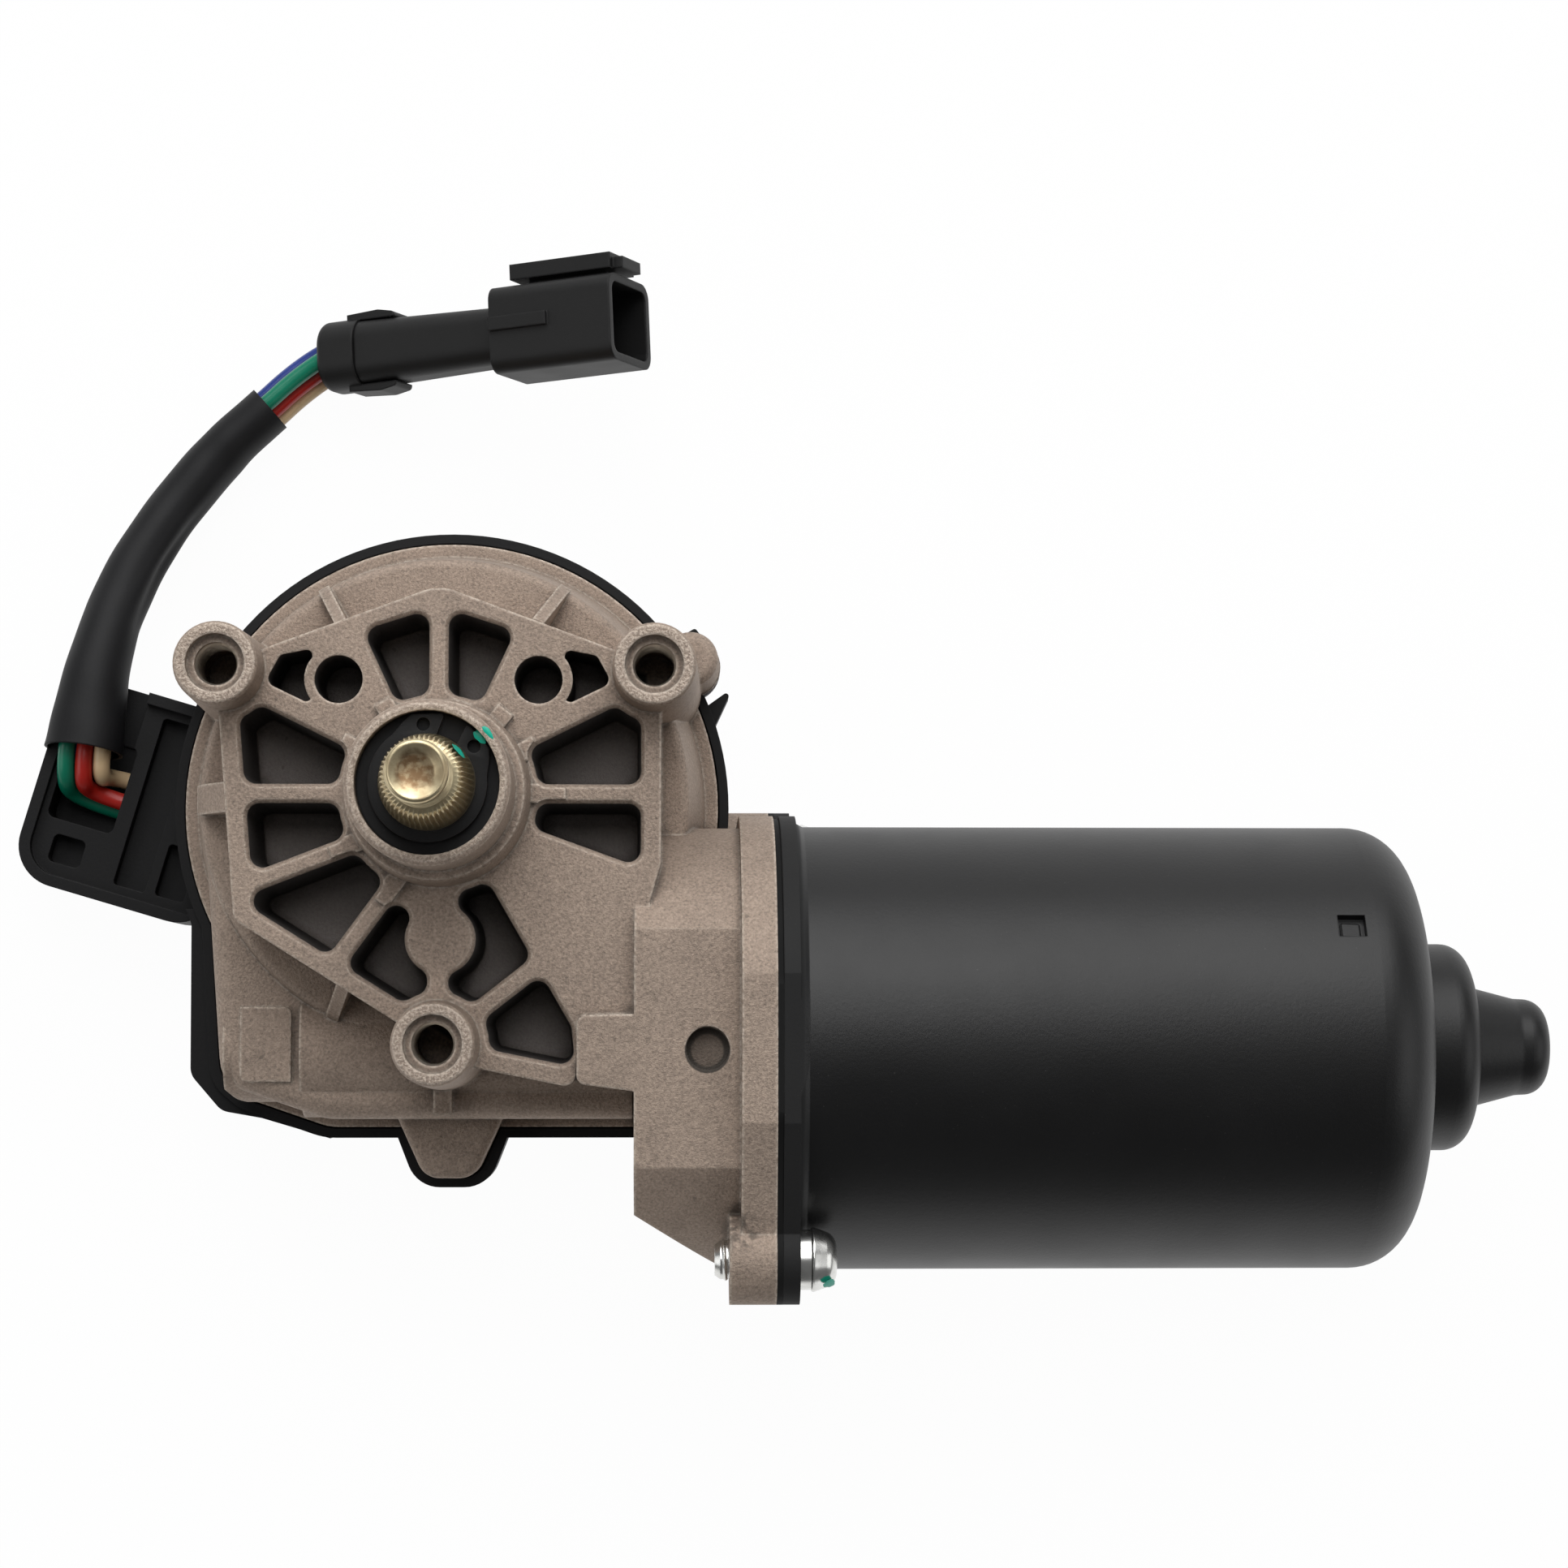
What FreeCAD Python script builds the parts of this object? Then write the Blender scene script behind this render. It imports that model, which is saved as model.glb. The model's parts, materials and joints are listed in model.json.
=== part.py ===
"""Windscreen wiper motor: a worm-geared motor with a die-cast gear housing.

Frame, in millimetres: the origin is the centre of the three mounting bosses, on the
output shaft's axis and level with the bosses' faces. +Z leaves the motor along the
output shaft, and +X runs along the motor to its closed end. The motor lies on its back:
the can and the gear cover both reach down to the same level.
"""
import FreeCAD
import Part
import math
import os

from FreeCAD import Vector

# Mounting bosses
BOLT_CIRCLE = 65.0        # the three bosses' centres lie on this circle round the shaft
BOSS_COUNT = 3
BOSS_D = 10.8
BOSS_TAPER = 0.9          # how much wider in radius a boss is at its foot
BOSS_HOLE_D = 5.6         # cored hole for a thread-forming M6 screw
BOSS_HOLE_DEPTH = 17.0
BOSS_RECESS_D = 7.6
BOSS_RECESS_DEPTH = 1.6

# Worm drive
MODULE = 1.0
WHEEL_TEETH = 56
WHEEL_WIDTH = 10.0
WORM_PITCH_D = 10.0
WORM_TURNS = 8
FLANK_CLEARANCE = 0.15    # on each flank, between worm thread and wheel tooth
TIP_CLEARANCE = 0.3
PRESSURE_ANGLE = 20.0

# Gear housing, as heights below the bosses' faces and radii round the shaft
WEB_DROP = 7.5            # the ribbed frame's face
ROOF_DROP = 22.0          # the floor of the pockets, which is the gear chamber's roof
ROOF_WALL = 3.0
MOTOR_AXIS_DROP = 31.0    # the motor's axis, level with the middle of the wheel
RIM_DROP = 41.0           # the joint with the cover
RIM_THICKNESS = 3.0
CHAMBER_R = 30.0
CHAMBER_WALL = 2.6
CHAMBER_DRAFT = 2.4
RIM_R = 36.8
LUG_R = 4.2
CASTING_DRAFT = 0.6       # how far a pocket's floor is set in from its mouth
POCKET_ROUND = 1.7
EDGE_BREAK = 0.5          # the broken edge round the mouth of a pocket
RIB_WIDTH = 2.5
PAD_HEIGHT = 0.8
FRAME_WALL = 2.6
WEB_HOLE_D = 6.3
WEB_HOLE_AT = (13.0, 14.9)

# Hub and output shaft
HUB_R = 12.1
HUB_STEP_DROP = 0.6
COLLAR_R = 10.4
COLLAR_HEIGHT = 13.5      # above the bosses' faces
COLLAR_BREAK = 0.6
COLLAR_RECESS_R = 9.05
COLLAR_RECESS_DEPTH = 3.5
BUSH_WALL = 2.0
UPPER_BUSH_LENGTH = 9.0
LOWER_BUSH_LENGTH = 12.0
SHAFT_R = 6.0
RUNNING_CLEARANCE = 0.04
KNURL_LENGTH = 8.5
KNURL_TOP_R = 5.15
KNURL_TEETH = 50
KNURL_DEPTH = 0.35
STUD_R = 3.9
STUD_LENGTH = 9.5
CLIP_THICKNESS = 1.2
CLIP_GROOVE_DEPTH = 0.5

# Motor
CAN_R = 30.0
CAN_WALL = 2.0
CAN_LENGTH = 82.9         # from its flange's face to the flat of its closed end
CAN_CORNER_R = 8.0
CAP_R = 14.1              # the drawn bearing pocket on the can's end
CAP_LENGTH = 8.9
NOSE_BASE_R = 8.4
NOSE_TIP_R = 6.6
NOSE_LENGTH = 11.2
THRUST_BALL_D = 4.0
FLANGE_RIM = 1.5          # how far the flanges stand out of the can
FLANGE_X = 39.5           # the casting flange's inner face, from the output shaft's axis
FLANGE_THICKNESS = 4.6
CAN_FLANGE_THICKNESS = 2.2
GASKET_THICKNESS = 0.8
EAR_ANGLE = 142.5         # round the motor's axis, from +Y towards +Z
EAR_REACH = 4.6           # from the can's outside to the middle of an ear
EAR_R = 5.8
EAR_SCREW_R = 2.5
EAR_BOSS = 1.5            # the casting's ears are this much thicker than its flange
EAR_SCREW_END = 1.9       # how far the screws stand out of the ears
BELL_INSET = 0.2          # how much smaller the bell is than the can
BELL_X = 25.6
BELL_FLAT_DEPTH = 4.3     # how deep the flat is cut into the bell's round
BELL_WALL = 8.8
BELL_BACK = 4.0
BEARING_BOSS_WALL = 3.4
DIMPLE_R = 2.8
DIMPLE_DEPTH = 2.5

# Armature
MOTOR_SHAFT_R = 4.0
WORM_JOURNAL_R = 3.0
WORM_BUSH_LENGTH = 9.0
AIR_GAP = 1.0             # between the core and the magnets
CORE_LENGTH = 42.0
CORE_SLOTS = 12
CORE_X = 74.0
COMMUTATOR_R = 10.0
COMMUTATOR_LENGTH = 13.0
COMMUTATOR_X = 48.8
MAGNET_THICKNESS = 6.2
MAGNET_LENGTH = 50.0
BEARING_R = 11.0
BEARING_WIDTH = 7.0
BALL_D = 4.0
BALL_COUNT = 7
REAR_BUSH_R = 8.0

# Brushes
BRUSH_ROOM = 1.05         # between a brush box and the can
BRUSH_WIDTH = 6.0
BRUSH_DEPTH = 5.0
BRUSH_TRAVEL = 4.0
BRUSH_CLEARANCE = 0.1
BRUSH_FIT = 0.05          # between a brush and the commutator
GUIDE_WALL = 0.9
BRUSH_PLATE_GAP = 1.2
BRUSH_PLATE_THICKNESS = 2.4
BRUSH_ANGLES = {"common": 90.0, "low_speed": 270.0, "high_speed": 210.0}
SPRING_LENGTH = 6.0
SPRING_R = 1.7
SPRING_WIRE_R = 0.3
SPRING_TURNS = 4

# Cover
SEAL_THICKNESS = 0.8
COVER_WALL = 2.0
COVER_LIP_GAP = 0.2
COVER_GAP = 0.4           # between the cover and the bell
COVER_LIP = 1.3
COVER_LIP_HEIGHT = 2.6    # how far the lip stands up beside the casting's rim
COVER_FLANGE = 2.8
CONTACT_PLATE_DROP = 6.0
CONTACT_PLATE_THICKNESS = 1.8
CUP_R = 33.0
CUP_RIB = 2.0             # the ribs on the cover's back stand this proud
SCREW_R = 1.7
SCREW_HEAD_R = 3.4
SCREW_HEAD_HEIGHT = 2.2
SCREW_DEPTH = 8.0

# Cable block on the cover
BLOCK_CORNER = (-62.4, -8.9)
BLOCK_TURN = -16.5        # degrees
BLOCK_WIDTH = 29.0
BLOCK_HEIGHT = 30.0
BLOCK_TOP_DROP = 46.0
BLOCK_ROUND = 6.0
BLOCK_WALL = 1.6
BLOCK_RIM = 1.4
BLOCK_POCKET_DEPTH = 6.0
BLOCK_NOTCH_DEPTH = 5.6

# Harness
WIRE_R = 1.2
SLEEVE_R = 4.8
SLEEVE_WALL = 0.7
# Middle of the wire bundle: the bend over the block, the sleeve, and on to the connector
BUNDLE_BEND = (-52.1, 5.4, -43.2)
BUNDLE_TWIST = -60.0      # how far the wires turn round each other within the sleeve
SLEEVE_ROUTE = [
    (-51.6, 10.9, -44.1),
    (-50.8, 18.9, -46.0),
    (-49.2, 27.4, -49.2),
    (-46.2, 35.8, -52.8),
    (-41.6, 43.9, -55.2),
    (-35.8, 51.2, -56.0),
    (-32.0, 55.3, -56.1),
    (-27.8, 59.0, -56.0),
]
PLUG_ROUTE = [(-24.5, 62.1, -55.9), (-21.0, 64.7, -55.6)]
# Each wire's place across and up in the bundle
WIRES = {
    "green": (-2.5, 1.0),
    "red": (0.0, 1.0),
    "white": (2.5, 1.0),
    "blue": (-1.3, -1.8),
    "black": (1.3, -1.8),
}
# Where three of the wires turn towards the block's inner wall, along and across the block,
# and the depth at which they pass through it; the others go down through its floor
WALL_WIRES = {"green": (4.8, 12.9, 4.2), "red": (7.2, 14.2, 1.8), "white": (8.7, 17.3, 4.2)}
WIRE_HOLE_U = 12.0        # the inner wall, from the block's left side
WIRE_GRIP = 1.0           # the length of wire held in that wall
WIRE_HOLE_CLEARANCE = 0.05

# Connector, along its own length
PLUG_AT = (-19.05, 66.1, -55.2)
PLUG_TURN = 2.5
PLUG_TILT = 24.0
CAP_DEPTH = 6.2
BARREL_LENGTH = 22.8
BARREL_SIZE = (8.0, 7.8)
BARREL_TAPER = 1.2
SHELL_LENGTH = 18.6
SHELL_SIZE = (12.2, 13.4)
SHELL_WALL = 1.1
SHELL_FLOOR = 3.0
PIN_LENGTH = 9.0
PIN_SIZE = (2.8, 0.8)

# Sizes that follow from those above
FLANGE_R = CAN_R + FLANGE_RIM
EAR_CENTRE_R = CAN_R + EAR_REACH
BELL_R = CAN_R - BELL_INSET
BELL_FLAT = BELL_R - BELL_FLAT_DEPTH
BELL_HOLLOW_R = BELL_R - BELL_WALL
CAN_BORE_R = CAN_R - CAN_WALL
CORE_R = CAN_BORE_R - MAGNET_THICKNESS - AIR_GAP
BRUSH_LENGTH = CAN_BORE_R - BRUSH_ROOM - GUIDE_WALL - SPRING_LENGTH - COMMUTATOR_R - BRUSH_FIT
PITCH_R = MODULE * WHEEL_TEETH / 2
CENTRES = PITCH_R + WORM_PITCH_D / 2
ADDENDUM = 0.9 * MODULE
WHEEL_TIP_R = PITCH_R + ADDENDUM
WHEEL_ROOT_R = PITCH_R - ADDENDUM - TIP_CLEARANCE
WORM_TIP_R = WORM_PITCH_D / 2 + ADDENDUM
WORM_ROOT_R = WORM_PITCH_D / 2 - ADDENDUM - TIP_CLEARANCE
WORM_LEAD = math.pi * MODULE
AXIS_Y = -CENTRES
AXIS_Z = -MOTOR_AXIS_DROP
ROOF_Z = -ROOF_DROP
CHAMBER_TOP = ROOF_Z - ROOF_WALL
WEB_Z = -WEB_DROP
RIM_Z = -RIM_DROP
RIM_TOP = RIM_Z + RIM_THICKNESS
WHEEL_TOP = AXIS_Z + WHEEL_WIDTH / 2
WHEEL_BOTTOM = AXIS_Z - WHEEL_WIDTH / 2
BED_Z = AXIS_Z - CAN_R
FLANGE_END = FLANGE_X + FLANGE_THICKNESS
CAN_X = FLANGE_END + GASKET_THICKNESS
CAN_FLANGE_END = CAN_X + CAN_FLANGE_THICKNESS
CAN_END = CAN_FLANGE_END + CAN_LENGTH
CAP_END = CAN_END + CAP_LENGTH
NOSE_END = CAP_END + NOSE_LENGTH
SHAFT_END = NOSE_END - CAN_WALL - THRUST_BALL_D - 0.1
REAR_BUSH_X = CAN_END + 2.0
BOSS_R = BOSS_D / 2
COVER_TOP = RIM_Z - SEAL_THICKNESS
COVER_BACK = BED_Z + CUP_RIB
BUSH_R = SHAFT_R + BUSH_WALL
WASHER_Z = COLLAR_HEIGHT - COLLAR_RECESS_DEPTH
WASHER_THICKNESS = 1.0
CLIP_Z = WASHER_Z + WASHER_THICKNESS + 0.05
KNURL_Z = COLLAR_HEIGHT + 0.7
STUD_Z = KNURL_Z + KNURL_LENGTH
TUNNEL_R = WORM_TIP_R + 1.2
TUNNEL_WALL = 2.4
PAD_THICKNESS = 2.4
BEARING_X = FLANGE_X - BEARING_WIDTH
WORM_HALF = WORM_LEAD * WORM_TURNS / 2
JOURNAL_X = -(WORM_HALF + 4.0)
JOURNAL_END = JOURNAL_X - WORM_BUSH_LENGTH

EPS = 0.01
THROUGH = 1.0             # how far a cutter runs past what it cuts


def direction(degrees):
    """Unit vector in the XY plane."""
    turn = math.radians(degrees)
    return Vector(math.cos(turn), math.sin(turn), 0)


def round_the_axis(degrees, radius, x=0.0):
    """A point at an angle round the motor's axis, from +Y towards +Z."""
    turn = math.radians(degrees)
    return Vector(x, AXIS_Y + radius * math.cos(turn), AXIS_Z + radius * math.sin(turn))


def outline(points, z=0.0):
    """Closed wire in the XY plane through (x, y) or (x, y, corner radius) points."""
    count = len(points)
    corners = [Vector(p[0], p[1], z) for p in points]
    edges = []
    ends = []
    for i, point in enumerate(points):
        radius = point[2] if len(point) > 2 else 0.0
        here = corners[i]
        if not radius:
            ends.append((here, here))
            continue
        back = (corners[i - 1] - here).normalize()
        on = (corners[(i + 1) % count] - here).normalize()
        half = back.getAngle(on) / 2
        reach = radius / math.tan(half)
        middle = (back + on).normalize()
        centre = here + middle * (radius / math.sin(half))
        start, end = here + back * reach, here + on * reach
        edges.append(Part.Arc(start, centre - middle * radius, end).toShape())
        ends.append((start, end))
    for i in range(count):
        start, end = ends[i][1], ends[(i + 1) % count][0]
        if start.distanceToPoint(end) > EPS / 10:
            edges.append(Part.LineSegment(start, end).toShape())
    return Part.Wire(Part.__sortEdges__(edges))


def prism(points, low, high):
    """Solid between two heights with an outline of (x, y, corner radius) points."""
    return Part.Face(outline(points, low)).extrude(Vector(0, 0, high - low))


def slab(face, low, high):
    """Solid between two heights over a face that lies at z = 0."""
    return face.translated(Vector(0, 0, low)).extrude(Vector(0, 0, high - low))


def rod(radius, low, high, x=0.0, y=0.0, top_radius=None):
    """Upright cylinder or cone."""
    base = Vector(x, y, low)
    if top_radius is None or abs(top_radius - radius) < EPS / 10:
        return Part.makeCylinder(radius, high - low, base)
    return Part.makeCone(radius, top_radius, high - low, base)


def tube_ring(outer, inner, low, high, x=0.0, y=0.0):
    """Upright ring."""
    return rod(outer, low, high, x, y).cut(rod(inner, low - THROUGH, high + THROUGH, x, y))


def bar(radius, start, end, offset=(0.0, 0.0)):
    """Cylinder along the motor's axis between two x, moved off it by (y, z)."""
    base = Vector(start, AXIS_Y + offset[0], AXIS_Z + offset[1])
    return Part.makeCylinder(radius, end - start, base, Vector(1, 0, 0))


def collar(outer, inner, start, end):
    """Ring round the motor's axis between two x."""
    return bar(outer, start, end).cut(bar(inner, start - THROUGH, end + THROUGH))


def turned(points):
    """Solid turned about +Z from (radius, z, corner radius) points."""
    face = Part.Face(outline(points))
    face.rotate(Vector(0, 0, 0), Vector(1, 0, 0), 90)
    return face.revolve(Vector(0, 0, 0), Vector(0, 0, 1), 360)


def turned_on_motor(points):
    """Solid turned about the motor's axis from (x, radius, corner radius) points."""
    face = Part.Face(outline(points))
    solid = face.revolve(Vector(0, 0, 0), Vector(1, 0, 0), 360)
    return solid.translated(Vector(0, AXIS_Y, AXIS_Z))


def fused(first, others):
    """One solid from shapes that overlap or share faces."""
    return first.fuse(list(others)).removeSplitter()


def spun(shape, degrees):
    """Copy turned round the output shaft's axis."""
    return shape.rotated(Vector(0, 0, 0), Vector(0, 0, 1), degrees)


def spun_on_motor(shape, degrees):
    """Copy turned round the motor's axis."""
    return shape.rotated(Vector(0, AXIS_Y, AXIS_Z), Vector(1, 0, 0), degrees)


def path_of(points):
    """Wire of straight runs joined by tangent arcs, each as large as its runs allow."""
    corners = [Vector(*p) for p in points]
    edges = []
    last = corners[0]
    for i in range(1, len(corners) - 1):
        back, on = corners[i - 1] - corners[i], corners[i + 1] - corners[i]
        shorter = min(back.Length, on.Length)
        back.normalize()
        on.normalize()
        reach = 0.45 * shorter
        half = back.getAngle(on) / 2
        radius = reach * math.tan(half)
        middle = (back + on).normalize()
        centre = corners[i] + middle * (radius / math.sin(half))
        start, end = corners[i] + back * reach, corners[i] + on * reach
        edges.append(Part.LineSegment(last, start).toShape())
        edges.append(Part.Arc(start, centre - middle * radius, end).toShape())
        last = end
    edges.append(Part.LineSegment(last, corners[-1]).toShape())
    return Part.Wire(edges)


def bend_radii(points):
    """The radius of each arc that path_of makes."""
    corners = [Vector(*p) for p in points]
    radii = []
    for i in range(1, len(corners) - 1):
        back, on = corners[i - 1] - corners[i], corners[i + 1] - corners[i]
        half = back.getAngle(on) / 2
        radii.append(0.45 * min(back.Length, on.Length) * math.tan(half))
    return radii


def tube(points, radius):
    """Round bar swept along straight runs and arcs."""
    start = Vector(*points[0])
    ring = Part.Wire(Part.Circle(start, Vector(*points[1]) - start, radius).toShape())
    return path_of(points).makePipeShell([ring], True, True)


def boss_places():
    """Centre and angle of each mounting boss, the first one below the shaft."""
    for i in range(BOSS_COUNT):
        angle = -90.0 + 360.0 * i / BOSS_COUNT
        yield direction(angle) * (BOLT_CIRCLE / 2), angle


def in_block(u, v):
    """A point of the cable block, from its lower left corner."""
    across, up = direction(BLOCK_TURN), direction(BLOCK_TURN + 90)
    return Vector(BLOCK_CORNER[0], BLOCK_CORNER[1], 0) + across * u + up * v


def block_prism(u0, u1, v0, v1, low, high, radius=0.0):
    """Box of the cable block between two heights."""
    corners = [in_block(u, v) for u, v in ((u0, v0), (u1, v0), (u1, v1), (u0, v1))]
    return prism([(c.x, c.y, radius) for c in corners], low, high)


LUG_CIRCLE_R = 38.4
UPPER_LUG_ANGLES = (31.0, 149.0)
EAR_LUG_Y = -(CENTRES + 13.6)
LUG_PLACES = [(0.3, EAR_LUG_Y), (-28.9, -23.1)] + [
    (LUG_CIRCLE_R * math.cos(math.radians(a)), LUG_CIRCLE_R * math.sin(math.radians(a)))
    for a in UPPER_LUG_ANGLES]


def worm_side(grow):
    """Outline of the casting below the chamber, round the worm, grown outwards."""
    g = grow
    low = AXIS_Y - TUNNEL_R - 3.9 - g
    return [
        (-RIM_R * 0.91 - g, -9.0),
        (JOURNAL_END - 6.0 - g, AXIS_Y - 3.6 - g, 4.0 + g),
        (JOURNAL_END - 2.6 - g / 2, AXIS_Y - 7.0 - g, 2.4 + g),
        (JOURNAL_X - g / 2, low, 8.0 + g),
        (BELL_X - 0.4, low),
        (BELL_X - 0.4, -9.0),
    ]


def ear_tongue(grow):
    """Outline of the three-cornered ear below the worm, grown outwards."""
    g = grow
    x, y = LUG_PLACES[0]
    root = AXIS_Y - TUNNEL_R - 1.9
    return [
        (x - 7.4 - g, root),
        (x - LUG_R * 0.8 - g, y - LUG_R - g, LUG_R * 0.75 + g),
        (x + LUG_R * 0.8 + g, y - LUG_R - g, LUG_R * 0.75 + g),
        (x + 7.4 + g, root),
    ]


def disc_face(radius, x=0.0, y=0.0):
    """Flat round face at z = 0."""
    return Part.Face(Part.Wire(Part.Circle(Vector(x, y, 0), Vector(0, 0, 1), radius).toShape()))


def rim_face(grow=0.0):
    """The casting's rim where the cover seats, grown outwards all round, at z = 0."""
    pieces = [Part.Face(outline(worm_side(grow))), Part.Face(outline(ear_tongue(grow)))]
    pieces += [disc_face(LUG_R + grow, x, y) for x, y in LUG_PLACES[2:]]
    return fused(disc_face(RIM_R + grow), pieces).Faces[0]


def frame_outline(inset, low, high):
    """Solid of the ribbed frame's outline, drawn in from its edge by inset."""
    d = inset
    left, right = -29.0 + d, 29.0 - d
    corners = [
        (left, 16.6 - 0.2 * d, 2.0),
        (left + 2.7, -16.4 + 0.5 * d, 2.0),
        (-4.0, -30.4 + 1.15 * d),
        (5.0, -35.6 + 1.05 * d),
        (BELL_X - 7.6, -38.2 + 1.05 * d, 1.5),
        (BELL_X - 7.4 - 0.3 * d, -29.8),
        (BELL_X + 2.0 - d, -29.4),
        (BELL_X + 2.0 - d, -14.0),
        (right, -9.0, 3.0),
        (right, 16.6 - 0.2 * d, 2.0),
        (0.0, 27.3 - 1.05 * d, 6.0),
    ]
    return prism(corners, low, high)


def rib_bar(angle, width, start=(0.0, 0.0), length=2 * CHAMBER_R):
    """Straight rib from a point outwards, as tall as the pockets are deep."""
    box = Part.makeBox(length, width, WEB_DROP_SPAN, Vector(0, -width / 2, ROOF_Z))
    return spun(box, angle).translated(Vector(start[0], start[1], 0))


WEB_DROP_SPAN = ROOF_DROP - WEB_DROP
# Where each rib starts, beside the hub's centre, and the way it runs
RIBS = ((0.0, 0.0, 0.0), (0.0, 0.0, 90.0), (0.0, 0.0, 180.0), (-9.4, -6.0, 201.2),
        (-4.6, -10.3, 233.9), (0.0, 0.0, 270.0))
SOLID_SECTORS = ((26.5, 65.0), (115.0, 153.5), (-60.0, -20.0))


def pocket_faces():
    """The mouths of the pockets between the ribs, with rounded corners, at the web's face."""
    region = frame_outline(FRAME_WALL, ROOF_Z, WEB_Z)
    keep = [rod(HUB_R + 0.9, ROOF_Z, WEB_Z)]
    keep += [rib_bar(angle, RIB_WIDTH, (x, y)) for x, y, angle in RIBS]
    keep += [rod(BOSS_R + 1.4, ROOF_Z, WEB_Z, c.x, c.y) for c, _ in boss_places()]
    lower = next(boss_places())[0]
    keep.append(rib_bar(38.0, RIB_WIDTH, (lower.x, lower.y), 24.0))
    keep.append(rod(4.6, ROOF_Z, WEB_Z, 0.4, lower.y + 13.55))
    keep.append(rib_bar(270.0, 4.0, (0.7, 0.0), -lower.y - 10.0))
    for start, end in SOLID_SECTORS:
        a, b = direction(start) * 70, direction(end) * 70
        keep.append(prism([(0, 0), (a.x, a.y), (b.x, b.y)], ROOF_Z, WEB_Z))
    left_over = region.cut(keep)
    faces = []
    for solid in left_over.Solids:
        top = [f for f in solid.Faces if abs(f.CenterOfMass.z - WEB_Z) < EPS][0]
        if top.Area < math.pi * POCKET_ROUND ** 2:
            continue
        shrunk = top.makeOffset2D(-POCKET_ROUND)
        for piece in shrunk.Wires:
            if Part.Face(piece).Area > 2.0:
                faces.append(Part.Face(Part.Face(piece).makeOffset2D(POCKET_ROUND).Wires[0]))
    return faces


def pocket(face):
    """Cutter for one pocket: a broken edge at the mouth and drafted walls down to the floor."""
    mouth = face.OuterWire
    floor = face.makeOffset2D(-CASTING_DRAFT).Wires[0]
    wide = face.makeOffset2D(EDGE_BREAK).Wires[0]
    down = Vector(0, 0, -EDGE_BREAK)
    walls = Part.makeLoft(
        [mouth.translated(down), floor.translated(Vector(0, 0, ROOF_Z - WEB_Z))], True, True)
    lead_in = Part.makeLoft([wide, mouth.translated(down)], True, True)
    above = Part.Face(wide).extrude(Vector(0, 0, PAD_HEIGHT + EDGE_BREAK))
    return [walls, lead_in, above]


def corner_holes():
    """Cutters for the two three-cornered holes beside the upper bosses."""
    x, y = WEB_HOLE_AT
    cutters = []
    for side in (-1, 1):
        corners = [
            (side * 22.6, y - 0.4, 1.2),
            (side * 20.6, y + 3.2, 1.0),
            (side * (x + 3.4), y + 4.0, 0.8),
            (side * (x + 3.4), y - 3.4, 0.8),
        ]
        if side < 0:
            corners = corners[::-1]
        hole = prism(corners, ROOF_Z, WEB_Z + THROUGH)
        cutters.append(hole.cut(rod(WEB_HOLE_D / 2 + 1.3, ROOF_Z - 1, WEB_Z + 2, side * x, y)))
    return cutters


def eared_plate(start, end, radius, hole=0.0, ear_start=None):
    """Flange plate round the motor's axis with two ears, flat at its front and back."""
    first = start if ear_start is None else ear_start
    ears = []
    for angle in (EAR_ANGLE, EAR_ANGLE + 180):
        centre = round_the_axis(angle, EAR_CENTRE_R)
        ears.append(bar(EAR_R, first, end, (centre.y - AXIS_Y, centre.z - AXIS_Z)))
        wide = radius * 0.62
        reach = math.sqrt(radius ** 2 - wide ** 2)
        web = Part.Face(Part.makePolygon([
            Vector(start, reach, -wide), Vector(start, EAR_CENTRE_R, -EAR_R),
            Vector(start, EAR_CENTRE_R, EAR_R), Vector(start, reach, wide),
            Vector(start, reach, -wide)])).extrude(Vector(end - start, 0, 0))
        web.rotate(Vector(0, 0, 0), Vector(1, 0, 0), angle)
        ears.append(web.translated(Vector(0, AXIS_Y, AXIS_Z)))
    blank = fused(bar(radius, start, end), ears)
    span = 2 * EAR_CENTRE_R + 4 * EAR_R
    limits = Part.makeBox(end - first, span, 2 * CAN_R, Vector(first, AXIS_Y - span / 2, BED_Z))
    blank = blank.common(limits)
    if not hole:
        return blank
    return blank.cut(ear_bars(hole, first - THROUGH, end + THROUGH))


def ear_bars(radius, start, end):
    """Cylinders along both ear screws."""
    bars = []
    for angle in (EAR_ANGLE, EAR_ANGLE + 180):
        centre = round_the_axis(angle, EAR_CENTRE_R)
        bars.append(bar(radius, start, end, (centre.y - AXIS_Y, centre.z - AXIS_Z)))
    return bars


LEAD_HOLE_R = 3.4
LEAD_ANGLE = math.radians(-39.2)
LEAD_CIRCLE_R = CAN_BORE_R - LEAD_HOLE_R - 0.1
# The brush leads' hole, from the motor's axis in y and z
LEAD_AT = (LEAD_CIRCLE_R * math.cos(LEAD_ANGLE), LEAD_CIRCLE_R * math.sin(LEAD_ANGLE))


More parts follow.
